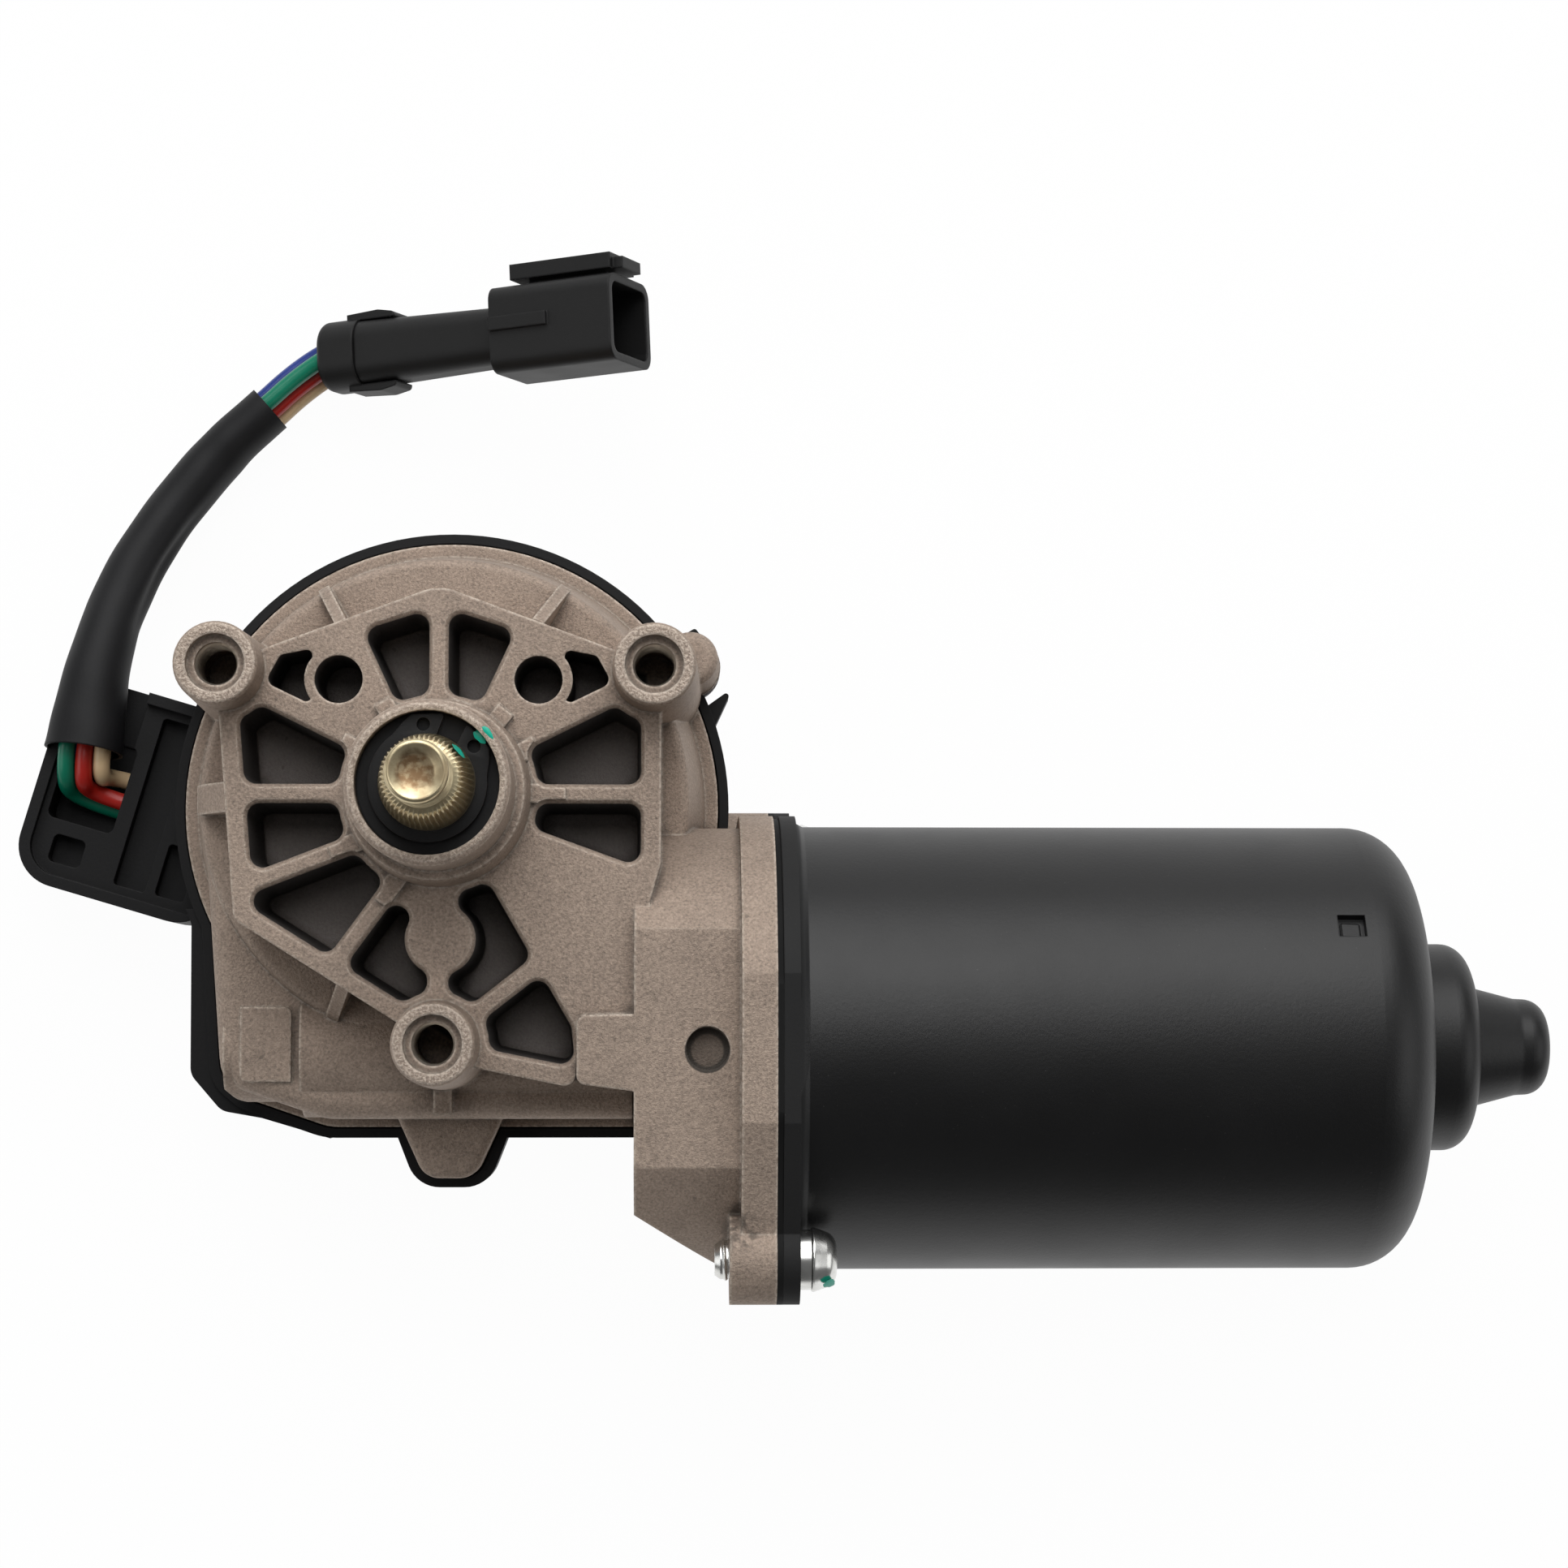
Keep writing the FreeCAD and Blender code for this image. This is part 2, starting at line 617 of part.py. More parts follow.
def bell():
    """The casting's adapter between the gear chamber and the can, flat in front."""
    body = bar(BELL_R, BELL_X, FLANGE_X)
    front = AXIS_Z + BELL_FLAT
    body = body.cut(Part.makeBox(FLANGE_X, 4 * BELL_R, BELL_R, Vector(BELL_X / 2, AXIS_Y - 2 * BELL_R, front)))
    slope = [
        (BELL_X - 5.0, AXIS_Y - 18.0), (BELL_X, AXIS_Y - 21.7),
        (FLANGE_X - EAR_BOSS, AXIS_Y - BELL_R - 0.1),
        (FLANGE_X - EAR_BOSS, AXIS_Y - 50.0), (BELL_X - 5.0, AXIS_Y - 50.0)]
    body = body.cut(prism(slope, BED_Z - 5, 10))
    half = math.sqrt(BELL_R ** 2 - BELL_FLAT ** 2)
    step = prism([
        (BELL_X - 7.4, AXIS_Y - 4.6, 1.2), (BELL_X + 0.2, AXIS_Y - 5.6, 0.6),
        (BELL_X + 0.2, AXIS_Y - half), (BELL_X + 4.0, AXIS_Y - half),
        (BELL_X + 4.0, AXIS_Y + half), (BELL_X + 0.6, AXIS_Y + half),
        (BELL_X + 0.6, AXIS_Y + 4.4, 0.6), (BELL_X - 7.4, AXIS_Y + 4.2, 1.2)], ROOF_Z, front)
    return fused(body, [step])


def gussets():
    """Small ribs on the chamber's roof between the ribbed frame and the outer edge."""
    ribs = []
    for angle, width in ((61.0, 1.6), (120.0, 1.6), (180.0, 4.0), (243.0, 1.8)):
        blade = Part.Face(Part.makePolygon([
            Vector(22.0, 0, ROOF_Z - 1.0), Vector(CHAMBER_R + CHAMBER_WALL + 0.6, 0, ROOF_Z - 1.0),
            Vector(CHAMBER_R + CHAMBER_WALL - 0.4, 0, ROOF_Z + 1.6),
            Vector(26.5, 0, WEB_Z - 4.0), Vector(22.0, 0, WEB_Z - 4.0),
            Vector(22.0, 0, ROOF_Z - 1.0)]))
        blade = blade.extrude(Vector(0, width, 0)).translated(Vector(0, -width / 2, 0))
        ribs.append(spun(blade, angle))
    return ribs


def hub_pads():
    """Low pads on the ribs and webs where they meet the hub."""
    pads = []
    spots = [(0.0, 0.0, 0.0, 16.6), (0.0, 0.0, 26.0, 14.2), (0.0, 0.0, 51.0, 14.0),
             (0.0, 0.0, 121.0, 14.0), (0.0, 0.0, 152.0, 14.2)]
    spots += [(x, y, angle, 4.8) for x, y, angle in RIBS if x]
    for x, y, angle, reach in spots:
        pad = Part.makeBox(reach, RIB_WIDTH, 1.0 + PAD_HEIGHT, Vector(0, -RIB_WIDTH / 2, WEB_Z - 1.0))
        pads.append(spun(pad, angle).translated(Vector(x, y, 0)))
    return pads


def casting_blank():
    """The casting before its pockets and bores: every wall, boss, lug and rib fused."""
    foot = CHAMBER_R + CHAMBER_WALL + CHAMBER_DRAFT
    chamber = rod(foot, RIM_TOP, ROOF_Z, top_radius=CHAMBER_R + CHAMBER_WALL)
    roof_edge = [e for e in chamber.Edges if e.Closed and abs(e.CenterOfMass.z - ROOF_Z) < EPS]
    chamber = chamber.makeFillet(1.2, roof_edge)
    trough_top = ROOF_Z - 1.6
    trough = prism(worm_side(-1.4), RIM_TOP, trough_top)
    top_edges = [e for e in trough.Edges if all(v.Z > trough_top - EPS for v in e.Vertexes)
                 and e.CenterOfMass.y < -12.0 and e.CenterOfMass.x < BELL_X - 1.0]
    trough = trough.makeFillet(2.6, top_edges)
    pad = prism([(JOURNAL_END - 1.6, AXIS_Y - 4.6, 1.0), (JOURNAL_X - 3.8, AXIS_Y - 4.6),
                 (JOURNAL_X - 3.8, AXIS_Y + 5.4, 1.0), (JOURNAL_END - 1.6, AXIS_Y + 5.4)],
                trough_top - 1.0, trough_top + 0.6)
    tunnel = bar(TUNNEL_R + TUNNEL_WALL, JOURNAL_X - 2.6, BELL_X + 1)
    end_boss = bar(WORM_JOURNAL_R + BUSH_WALL + TUNNEL_WALL, JOURNAL_END - 4.0, JOURNAL_X)
    end_boss = end_boss.common(prism(worm_side(0.0), RIM_Z, ROOF_Z))
    ear = prism(ear_tongue(0.0), RIM_Z, RIM_Z + SCREW_DEPTH + 1.6)
    ear_edges = [e for e in ear.Edges if all(v.Z > RIM_Z + SCREW_DEPTH for v in e.Vertexes)
                 and e.CenterOfMass.y < EAR_LUG_Y + 3.0]
    ear = ear.makeFillet(1.0, ear_edges)
    foot_rib = prism([(-1.2, AXIS_Y - 3.0), (-1.2, AXIS_Y - 9.0), (1.2, AXIS_Y - 9.0),
                      (1.2, AXIS_Y - 3.0)], RIM_TOP, ROOF_Z + 1.0)
    hub = turned([
        (0, ROOF_Z), (HUB_R + 1.2, ROOF_Z), (HUB_R, WEB_Z + 1.0),
        (HUB_R - 0.3, -HUB_STEP_DROP - COLLAR_BREAK), (HUB_R - COLLAR_BREAK, -HUB_STEP_DROP),
        (COLLAR_R, -HUB_STEP_DROP), (COLLAR_R, COLLAR_HEIGHT - COLLAR_BREAK),
        (COLLAR_R - COLLAR_BREAK, COLLAR_HEIGHT), (0, COLLAR_HEIGHT)])
    bosses = []
    for centre, angle in boss_places():
        foot_z = ROOF_Z - 2.0 if angle == -90.0 else RIM_TOP
        wide = BOSS_R + BOSS_TAPER
        boss = rod(wide, foot_z, -0.5, centre.x, centre.y, top_radius=BOSS_R)
        bosses.append(boss.rotated(centre, Vector(0, 0, 1), angle + 180.0))
        bosses.append(rod(BOSS_R, -0.5, 0, centre.x, centre.y, top_radius=BOSS_R - 0.35))
    lugs = []
    for x, y in LUG_PLACES[2:]:
        top = RIM_Z + SCREW_DEPTH + 6.6
        dome = rod(LUG_R, RIM_Z, top, x, y, top_radius=LUG_R - 0.5)
        edge = [e for e in dome.Edges if e.Closed and abs(e.CenterOfMass.z - top) < EPS]
        lugs.append(dome.makeFillet(1.5, edge))
        outward = math.degrees(math.atan2(y, x))
        bridge = Part.makeBox(9.0, 2 * LUG_R - 1.0, SCREW_DEPTH + 3.0, Vector(-9.5, 0.5 - LUG_R, RIM_Z))
        bridge.rotate(Vector(0, 0, 0), Vector(0, 0, 1), outward)
        lugs.append(bridge.translated(Vector(x, y, 0)))
    flange = eared_plate(FLANGE_X, FLANGE_END, FLANGE_R, ear_start=FLANGE_X - EAR_BOSS)
    pieces = [slab(rim_face(), RIM_Z, RIM_TOP), trough, pad, tunnel, end_boss, ear, foot_rib]
    pieces += [frame_outline(0.0, ROOF_Z - 1.0, WEB_Z), hub, bell(), flange]
    return fused(chamber, pieces + bosses + lugs + gussets() + hub_pads())


def casting_cutters():
    """Everything that is taken out of the casting."""
    cutters = corner_holes()
    for face in pocket_faces():
        cutters += pocket(face)
    for side in (-1, 1):
        x, y = side * WEB_HOLE_AT[0], WEB_HOLE_AT[1]
        cutters.append(rod(WEB_HOLE_D / 2 - 0.2, ROOF_Z, WEB_Z + 0.01, x, y, WEB_HOLE_D / 2))
    for centre, _ in boss_places():
        x, y = centre.x, centre.y
        cutters.append(rod(BOSS_HOLE_D / 2, -BOSS_HOLE_DEPTH, THROUGH, x, y))
        cutters.append(rod(BOSS_RECESS_D / 2, -BOSS_RECESS_DEPTH, THROUGH, x, y))
    cutters.append(rod(CHAMBER_R, RIM_Z - THROUGH, CHAMBER_TOP))
    cutters.append(rod(BUSH_R, CHAMBER_TOP - THROUGH, COLLAR_HEIGHT))
    cutters.append(rod(COLLAR_RECESS_R, WASHER_Z, COLLAR_HEIGHT + THROUGH))
    cutters.append(bar(TUNNEL_R, JOURNAL_X, BEARING_X + EPS))
    cutters.append(bar(WORM_JOURNAL_R + BUSH_WALL, JOURNAL_END - PAD_THICKNESS, JOURNAL_X + EPS))
    cutters.append(bar(BEARING_R, BEARING_X, FLANGE_END + THROUGH))
    hollow = bar(BELL_HOLLOW_R, BELL_X + BELL_BACK, FLANGE_END + THROUGH)
    cutters.append(hollow.cut(bar(BEARING_R + BEARING_BOSS_WALL, BELL_X, FLANGE_X)))
    cutters.append(bar(LEAD_HOLE_R, BELL_X - 8, FLANGE_END + THROUGH, LEAD_AT))
    cutters += ear_bars(EAR_SCREW_R, FLANGE_X - 12, FLANGE_END + THROUGH)
    for x, y in LUG_PLACES:
        cutters.append(rod(SCREW_R, RIM_Z - THROUGH, RIM_Z + SCREW_DEPTH, x, y))
    dimple_x = (BELL_X + FLANGE_X) / 2 + 2.6
    front = AXIS_Z + BELL_FLAT
    cutters.append(rod(DIMPLE_R, front - DIMPLE_DEPTH, front + THROUGH, dimple_x, AXIS_Y))
    return cutters


def gear_housing():
    """Die-cast aluminium housing: chamber, ribbed frame, hub, bosses, worm tunnel and bell."""
    return casting_blank().cut(casting_cutters())


def cover_seal():
    """Flat rubber seal between the casting's rim and the cover."""
    outer = slab(rim_face(-0.5), COVER_TOP, RIM_Z)
    holes = [rod(SCREW_R, COVER_TOP - 1, RIM_Z + 1, x, y) for x, y in LUG_PLACES]
    return outer.cut([rod(CHAMBER_R + 1.2, COVER_TOP - 1, RIM_Z + 1)] + holes + bell_clearance(0.0))


def cover_tray():
    """The cover's flange with its upstanding lip, wider beside the worm's end."""
    lip_top = RIM_Z + COVER_LIP_HEIGHT
    low = COVER_TOP - COVER_FLANGE
    grown = COVER_LIP_GAP + COVER_LIP
    outer = slab(rim_face(grown), low, lip_top)
    x, y = JOURNAL_END - 10.4, AXIS_Y - 3.8
    corner = [
        (-RIM_R, -14.0), (x, -16.0, 2.0), (x + 0.1, y, 2.6), (x + 4.4, AXIS_Y - 8.8, 2.6),
        (x + 10.0, AXIS_Y - 9.8), (JOURNAL_X, AXIS_Y - 12.6), (JOURNAL_X, -14.0)]
    outer = fused(outer, [prism(corner, low, lip_top - 0.6)])
    hook = prism([(35.0, 14.2), (38.9, 17.0, 0.4), (36.4, 11.6)], low, lip_top - 0.4)
    tab = prism([(29.6, 23.0), (33.6, 25.4, 0.4), (35.0, 23.6)], low, lip_top - 1.0)
    inside = slab(rim_face(COVER_LIP_GAP), COVER_TOP, lip_top + THROUGH)
    bare = []
    for lug_x, lug_y in LUG_PLACES[2:]:
        ring = rod(LUG_R + 3.0, low - 1, lip_top + 1, lug_x, lug_y)
        bare.append(ring.cut([rod(LUG_R, low - 2, lip_top + 2, lug_x, lug_y),
                              rod(RIM_R + grown, low - 2, lip_top + 2)]))
    return fused(outer.cut(bare), [hook, tab]).cut([inside])


def cover_cup():
    """The cover's round cup with the ribs on its back."""
    flange_low = COVER_TOP - COVER_FLANGE
    cup = rod(CUP_R - 1.0, COVER_BACK, flange_low + EPS, top_radius=CUP_R)
    base_edge = [e for e in cup.Edges if e.Closed and abs(e.CenterOfMass.z - COVER_BACK) < EPS]
    cup = cup.makeFillet(2.5, base_edge)
    ribs = [tube_ring(25.0, 23.4, BED_Z, COVER_BACK + 0.5), tube_ring(9.0, 6.0, BED_Z, COVER_BACK + 0.5)]
    for i in range(8):
        rib = Part.makeBox(16.0, 1.6, CUP_RIB + 0.5, Vector(8.2, -0.8, BED_Z))
        ribs.append(spun(rib, 22.5 + 45.0 * i))
    return fused(cup, ribs)


def bell_clearance(extra):
    """The room that the bell and its flange take beside the cover, widened by extra."""
    gap = COVER_GAP + extra
    front = BELL_X - gap
    return [
        bar(BELL_R + gap, front, FLANGE_X + 3),
        eared_plate(FLANGE_X - gap, FLANGE_X + 8, FLANGE_R + gap, ear_start=FLANGE_X - EAR_BOSS - gap),
        Part.makeBox(40, 50, 60, Vector(front, AXIS_Y - 50 - 10.0, BED_Z - 5)),
    ]


def gear_cover():
    """Moulded cover: a flange with an upstanding lip, a round cup and the cable block."""
    top = -BLOCK_TOP_DROP
    flange_low = COVER_TOP - COVER_FLANGE
    block = block_prism(0, BLOCK_WIDTH, 0, BLOCK_HEIGHT, COVER_BACK, top, BLOCK_ROUND)
    block = block.cut([rod(CUP_R - 4.0, BED_Z, 0), slab(rim_face(COVER_LIP_GAP), COVER_TOP, 0)])
    rim = block_prism(0, BLOCK_WIDTH, 0, BLOCK_HEIGHT, top - EPS, top + BLOCK_RIM, BLOCK_ROUND)
    w = BLOCK_WALL
    rim = rim.cut([
        block_prism(w, BLOCK_WIDTH + 9, w, BLOCK_HEIGHT - w, top - 1, top + 3, BLOCK_ROUND - w),
        slab(rim_face(0.0), BED_Z - 9, 0)])
    body = fused(cover_tray(), [cover_cup(), block, rim])

    inside = rod(CUP_R - 1.0 - COVER_WALL, COVER_BACK + COVER_WALL, RIM_Z + THROUGH)
    cutters = [inside.cut(bell_clearance(COVER_WALL))]
    u = WIRE_HOLE_U
    floor = top - BLOCK_POCKET_DEPTH
    cutters.append(block_prism(2.5, u, 9.4, 22.0, floor, top + 5, 1.0))
    cutters.append(block_prism(-1, u - 0.6, 20.0, BLOCK_HEIGHT + 3, top - BLOCK_NOTCH_DEPTH, top + 5))
    cutters.append(block_prism(4.4, 9.0, 3.4, 7.4, top - 3.0, top + 5, 0.8))
    cutters.append(block_prism(u + 2.2, u + 6.8, 2.8, BLOCK_HEIGHT - 2.8, top - 2.4, top + 5, 0.6))
    side_pocket = block_prism(u + 8.2, BLOCK_WIDTH - 4.6, 3.0, 10.5, top - 2.4, top + 5, 0.6)
    cutters.append(side_pocket.cut(rod(CUP_R + 3.0, BED_Z - 9, 0)))
    hole_r = WIRE_R + WIRE_HOLE_CLEARANCE
    for name in WIRES:
        start, onward = [Vector(*p) for p in wire_route(name)[:2]]
        length = WIRE_GRIP + THROUGH if name in WALL_WIRES else 2.2
        cutters.append(Part.makeCylinder(hole_r, length, start, onward - start))
    for x, y in LUG_PLACES:
        cutters.append(rod(SCREW_R + 0.2, flange_low - 1, RIM_Z + 1, x, y))
    cutters += bell_clearance(0.0)
    cutters.append(bar(LEAD_HOLE_R, BELL_X - 14, BELL_X, LEAD_AT))
    return body.cut(cutters)


def cover_screws():
    """Pan-head screws that hold the cover, one solid each."""
    seat = COVER_TOP - COVER_FLANGE
    screws = []
    for x, y in LUG_PLACES:
        head = rod(SCREW_HEAD_R - 0.5, seat - SCREW_HEAD_HEIGHT, seat, x, y, SCREW_HEAD_R)
        head = head.cut([
            Part.makeBox(3.6, 0.9, 1.2, Vector(x - 1.8, y - 0.45, seat - SCREW_HEAD_HEIGHT)),
            Part.makeBox(0.9, 3.6, 1.2, Vector(x - 0.45, y - 1.8, seat - SCREW_HEAD_HEIGHT))])
        shank = rod(SCREW_R, seat, RIM_Z + SCREW_DEPTH - 1.0, x, y)
        screws.append(fused(head, [shank]))
    return Part.makeCompound(screws)


def can_profile(out):
    """Half profile of the can, drawn in from its outside by out, as (x, radius, round)."""
    d = out
    flange_end = CAN_X - THROUGH if d else CAN_FLANGE_END
    return [
        (flange_end, CAN_R - d),
        (CAN_END - d, CAN_R - d, CAN_CORNER_R - d),
        (CAN_END - d + 0.6, CAP_R + 1.8 - d, 1.0),
        (CAN_END - d + 0.2, CAP_R - d, 0.8 if not d else 0.0),
        (CAP_END - d, CAP_R - d, 3.4 - d * 0.6),
        (CAP_END - d + 0.2, NOSE_BASE_R - d, 0.6),
        (NOSE_END - 4.2 - d, NOSE_TIP_R - d, 2.0),
        (NOSE_END - d, NOSE_TIP_R - d - 0.2, 3.0 - d * 0.6),
        (NOSE_END - d, 0.0),
        (flange_end, 0.0),
    ]


def motor_yoke():
    """Deep-drawn steel can with its eared flange, bearing pocket and nose."""
    shell = turned_on_motor(can_profile(0.0))
    flange = eared_plate(CAN_X, CAN_FLANGE_END, FLANGE_R)
    bead = turned_on_motor([
        (CAN_FLANGE_END - EPS, 0.0), (CAN_FLANGE_END - EPS, CAN_R + 0.6),
        (CAN_FLANGE_END + 1.1, CAN_R), (CAN_FLANGE_END + 1.1, 0.0)])
    bead = bead.common(Part.makeBox(CAN_LENGTH, 4 * CAN_R, 2 * CAN_R,
                                    Vector(CAN_X, AXIS_Y - 2 * CAN_R, BED_Z)))
    body = fused(shell, [flange, bead])
    hollow = turned_on_motor(can_profile(CAN_WALL))
    notch_x = CAN_END - CAN_CORNER_R - 4.8
    notch = Part.makeBox(3.6, 3.3, 1.3, Vector(notch_x, -1.65, CAN_R - 1.2))
    notch.rotate(Vector(0, 0, 0), Vector(1, 0, 0), -32.0)
    notch = notch.translated(Vector(0, AXIS_Y, AXIS_Z))
    return body.cut([hollow, notch] + ear_bars(EAR_SCREW_R + 0.2, CAN_X - 1, CAN_FLANGE_END + 1))


def yoke_gasket():
    """Thin gasket between the casting's flange and the can."""
    plate = eared_plate(FLANGE_END, CAN_X, FLANGE_R - 0.4, EAR_SCREW_R + 0.2)
    return plate.cut(bar(CAN_BORE_R, FLANGE_END - 1, CAN_X + 1))


def yoke_screws():
    """The two screws through the can's ears into the casting, with domed heads."""
    first = FLANGE_X - EAR_BOSS - EAR_SCREW_END
    x = CAN_FLANGE_END
    profile = [
        (first, 0.0), (first, EAR_SCREW_R - 0.5), (first + 0.7, EAR_SCREW_R),
        (x, EAR_SCREW_R), (x, 3.9), (x + 1.5, 3.9), (x + 1.5, 4.3, 0.3),
        (x + 4.7, 3.2, 2.0), (x + 5.0, 0.0)]
    screws = []
    for angle in (EAR_ANGLE, EAR_ANGLE + 180):
        centre = round_the_axis(angle, EAR_CENTRE_R)
        screws.append(turned_on_motor(profile).translated(
            Vector(0, centre.y - AXIS_Y, centre.z - AXIS_Z)))
    return Part.makeCompound(screws)


def arc_shell(outer, inner, start, end, span, angle):
    """Part of a ring round the motor's axis, span degrees wide."""
    ring = collar(outer, inner, start, end)
    a, b = math.radians(-span / 2), math.radians(span / 2)
    far = outer * 4
    wedge = Part.Face(Part.makePolygon([
        Vector(start - 1, 0, 0), Vector(start - 1, far * math.cos(a), far * math.sin(a)),
        Vector(start - 1, far * 1.5, 0),
        Vector(start - 1, far * math.cos(b), far * math.sin(b)), Vector(start - 1, 0, 0)]))
    wedge = wedge.extrude(Vector(end - start + 2, 0, 0)).translated(Vector(0, AXIS_Y, AXIS_Z))
    return ring.common(spun_on_motor(wedge, angle))


def field_magnets():
    """Two ferrite arcs glued inside the can."""
    outer = CAN_BORE_R
    start = CORE_X + CORE_LENGTH / 2 - MAGNET_LENGTH / 2
    return Part.makeCompound([
        arc_shell(outer, outer - MAGNET_THICKNESS, start, start + MAGNET_LENGTH, 140.0, angle)
        for angle in (0.0, 180.0)])


def magnet_springs():
    """Bent steel clips that press the magnets apart, one in each gap."""
    outer = CAN_BORE_R
    start = CORE_X + CORE_LENGTH / 2 - 16.0
    clips = []
    for angle in (90.0, 270.0):
        strip = arc_shell(outer, outer - 0.8, start, start + 32.0, 38.0, angle)
        clips.append(strip)
    return Part.makeCompound(clips)


def armature_shaft():
    """Motor shaft with the worm rolled on its end."""
    core = turned_on_motor([
        (JOURNAL_END - 0.8, 0.0), (JOURNAL_END - 0.8, WORM_JOURNAL_R),
        (JOURNAL_X + 0.6, WORM_JOURNAL_R), (JOURNAL_X + 1.6, WORM_ROOT_R),
        (WORM_HALF + 2.0, WORM_ROOT_R), (WORM_HALF + 2.6, MOTOR_SHAFT_R),
        (SHAFT_END - 0.6, MOTOR_SHAFT_R), (SHAFT_END, MOTOR_SHAFT_R - 0.6), (SHAFT_END, 0.0)])
    half_tip = math.pi * MODULE / 4 - FLANK_CLEARANCE - ADDENDUM * math.tan(math.radians(PRESSURE_ANGLE))
    depth = WORM_TIP_R - WORM_ROOT_R + 0.3
    half_foot = half_tip + depth * math.tan(math.radians(PRESSURE_ANGLE))
    foot = WORM_TIP_R - depth
    length = WORM_LEAD * WORM_TURNS
    helix = Part.makeLongHelix(WORM_LEAD, length, WORM_PITCH_D / 2, 0)
    thread = Part.makePolygon([
        Vector(foot, 0, -half_foot), Vector(WORM_TIP_R, 0, -half_tip),
        Vector(WORM_TIP_R, 0, half_tip), Vector(foot, 0, half_foot), Vector(foot, 0, -half_foot)])
    worm = Part.Wire(helix.Edges).makePipeShell([thread], True, True)
    worm.rotate(Vector(0, 0, 0), Vector(1, 1, 1), 120)
    return fused(core, [worm.translated(Vector(-length / 2, AXIS_Y, AXIS_Z))])


def armature_core():
    """Laminated core with its winding slots."""
    end = CORE_X + CORE_LENGTH
    core = collar(CORE_R, MOTOR_SHAFT_R, CORE_X, end)
    cutters = []
    for i in range(CORE_SLOTS):
        angle = 360.0 * i / CORE_SLOTS
        hole = bar(3.0, CORE_X - 1, end + 1, (14.6, 0.0))
        mouth = Part.makeBox(CORE_LENGTH + 2, 8.0, 2.0, Vector(CORE_X - 1, AXIS_Y + 14.6, AXIS_Z - 1.0))
        cutters += [spun_on_motor(hole, angle), spun_on_motor(mouth, angle)]
    return core.cut(cutters)


def armature_windings():
    """Copper in the slots with the end turns on both sides of the core."""
    end = CORE_X + CORE_LENGTH
    rings = []
    for start, stop in ((CORE_X - 7.6, CORE_X), (end, end + 7.6)):
        rings.append(turned_on_motor([
            (start, MOTOR_SHAFT_R + 2.0, 1.5), (start, CORE_R - 5.0, 3.0),
            (stop, CORE_R - 2.6, 1.0), (stop, MOTOR_SHAFT_R + 2.0)]))
    bars = [spun_on_motor(bar(2.7, CORE_X - 1, end + 1, (14.6, 0.0)), 360.0 * i / CORE_SLOTS)
            for i in range(CORE_SLOTS)]
    return fused(rings[0], [rings[1]] + bars)


def commutator_bars():
    """Copper bars with a slit between each pair."""
    end = COMMUTATOR_X + COMMUTATOR_LENGTH
    pitch = 360.0 / CORE_SLOTS
    return Part.makeCompound([
        arc_shell(COMMUTATOR_R, COMMUTATOR_R - 2.4, COMMUTATOR_X, end, pitch - 4.0, pitch * i)
        for i in range(CORE_SLOTS)])


def commutator_hub():
    """Moulded hub that carries the bars on the shaft."""
    return collar(COMMUTATOR_R - 2.4, MOTOR_SHAFT_R, COMMUTATOR_X - 0.8,
                  COMMUTATOR_X + COMMUTATOR_LENGTH + 0.8)


def bearing_rings():
    """Outer and inner race of the front ball bearing, with their grooves."""
    end = BEARING_X + BEARING_WIDTH
    middle = (BEARING_X + end) / 2
    pitch = (BEARING_R + MOTOR_SHAFT_R) / 2
    groove = Part.makeTorus(pitch, BALL_D / 2 + RUNNING_CLEARANCE, Vector(middle, AXIS_Y, AXIS_Z),
                            Vector(1, 0, 0))
    outer = collar(BEARING_R, pitch + 1.4, BEARING_X, end).cut(groove)
    inner = collar(pitch - 1.4, MOTOR_SHAFT_R, BEARING_X, end).cut(groove)
    return outer, inner


def bearing_balls():
    """The balls, one solid each."""
    middle = BEARING_X + BEARING_WIDTH / 2
    pitch = (BEARING_R + MOTOR_SHAFT_R) / 2
    return Part.makeCompound([
        Part.makeSphere(BALL_D / 2, round_the_axis(360.0 * i / BALL_COUNT, pitch, middle))
        for i in range(BALL_COUNT)])


def bearing_cage():
    """Thin ring that spaces the balls."""
    middle = BEARING_X + BEARING_WIDTH / 2
    pitch = (BEARING_R + MOTOR_SHAFT_R) / 2
    ring = collar(pitch + 0.6, pitch - 0.6, middle - 1.4, middle + 2.6)
    hole = Part.makeCylinder(BALL_D / 2 + 0.06, 4.0, Vector(middle, AXIS_Y + pitch - 2.0, AXIS_Z),
                             Vector(0, 1, 0))
    holes = [spun_on_motor(hole, 360.0 * i / BALL_COUNT) for i in range(BALL_COUNT)]
    return ring.cut(holes)


def bearing_retainer():
    """Plate in the flange's recess that holds the front bearing."""
    return collar(BEARING_R + 3.9, MOTOR_SHAFT_R + 3.2, FLANGE_X, FLANGE_X + 1.4)


def worm_end_bush():
    """Sintered bush for the worm's end."""
    return collar(WORM_JOURNAL_R + BUSH_WALL, WORM_JOURNAL_R + RUNNING_CLEARANCE, JOURNAL_END,
                  JOURNAL_X)


def worm_thrust_pad():
    """Hardened pad that takes the worm's end thrust."""
    start = JOURNAL_END - PAD_THICKNESS
    return bar(WORM_JOURNAL_R + BUSH_WALL, start, start + 1.5)


def rear_bush():
    """Self-aligning sintered bush in the can's bearing pocket."""
    ball = Part.makeSphere(REAR_BUSH_R, Vector(REAR_BUSH_X, AXIS_Y, AXIS_Z), Vector(1, 0, 0))
    box = bar(REAR_BUSH_R + 1, REAR_BUSH_X - 4.0, REAR_BUSH_X + 4.0)
    return ball.common(box).cut(bar(MOTOR_SHAFT_R + RUNNING_CLEARANCE, CAN_END - 9, CAP_END + 9))


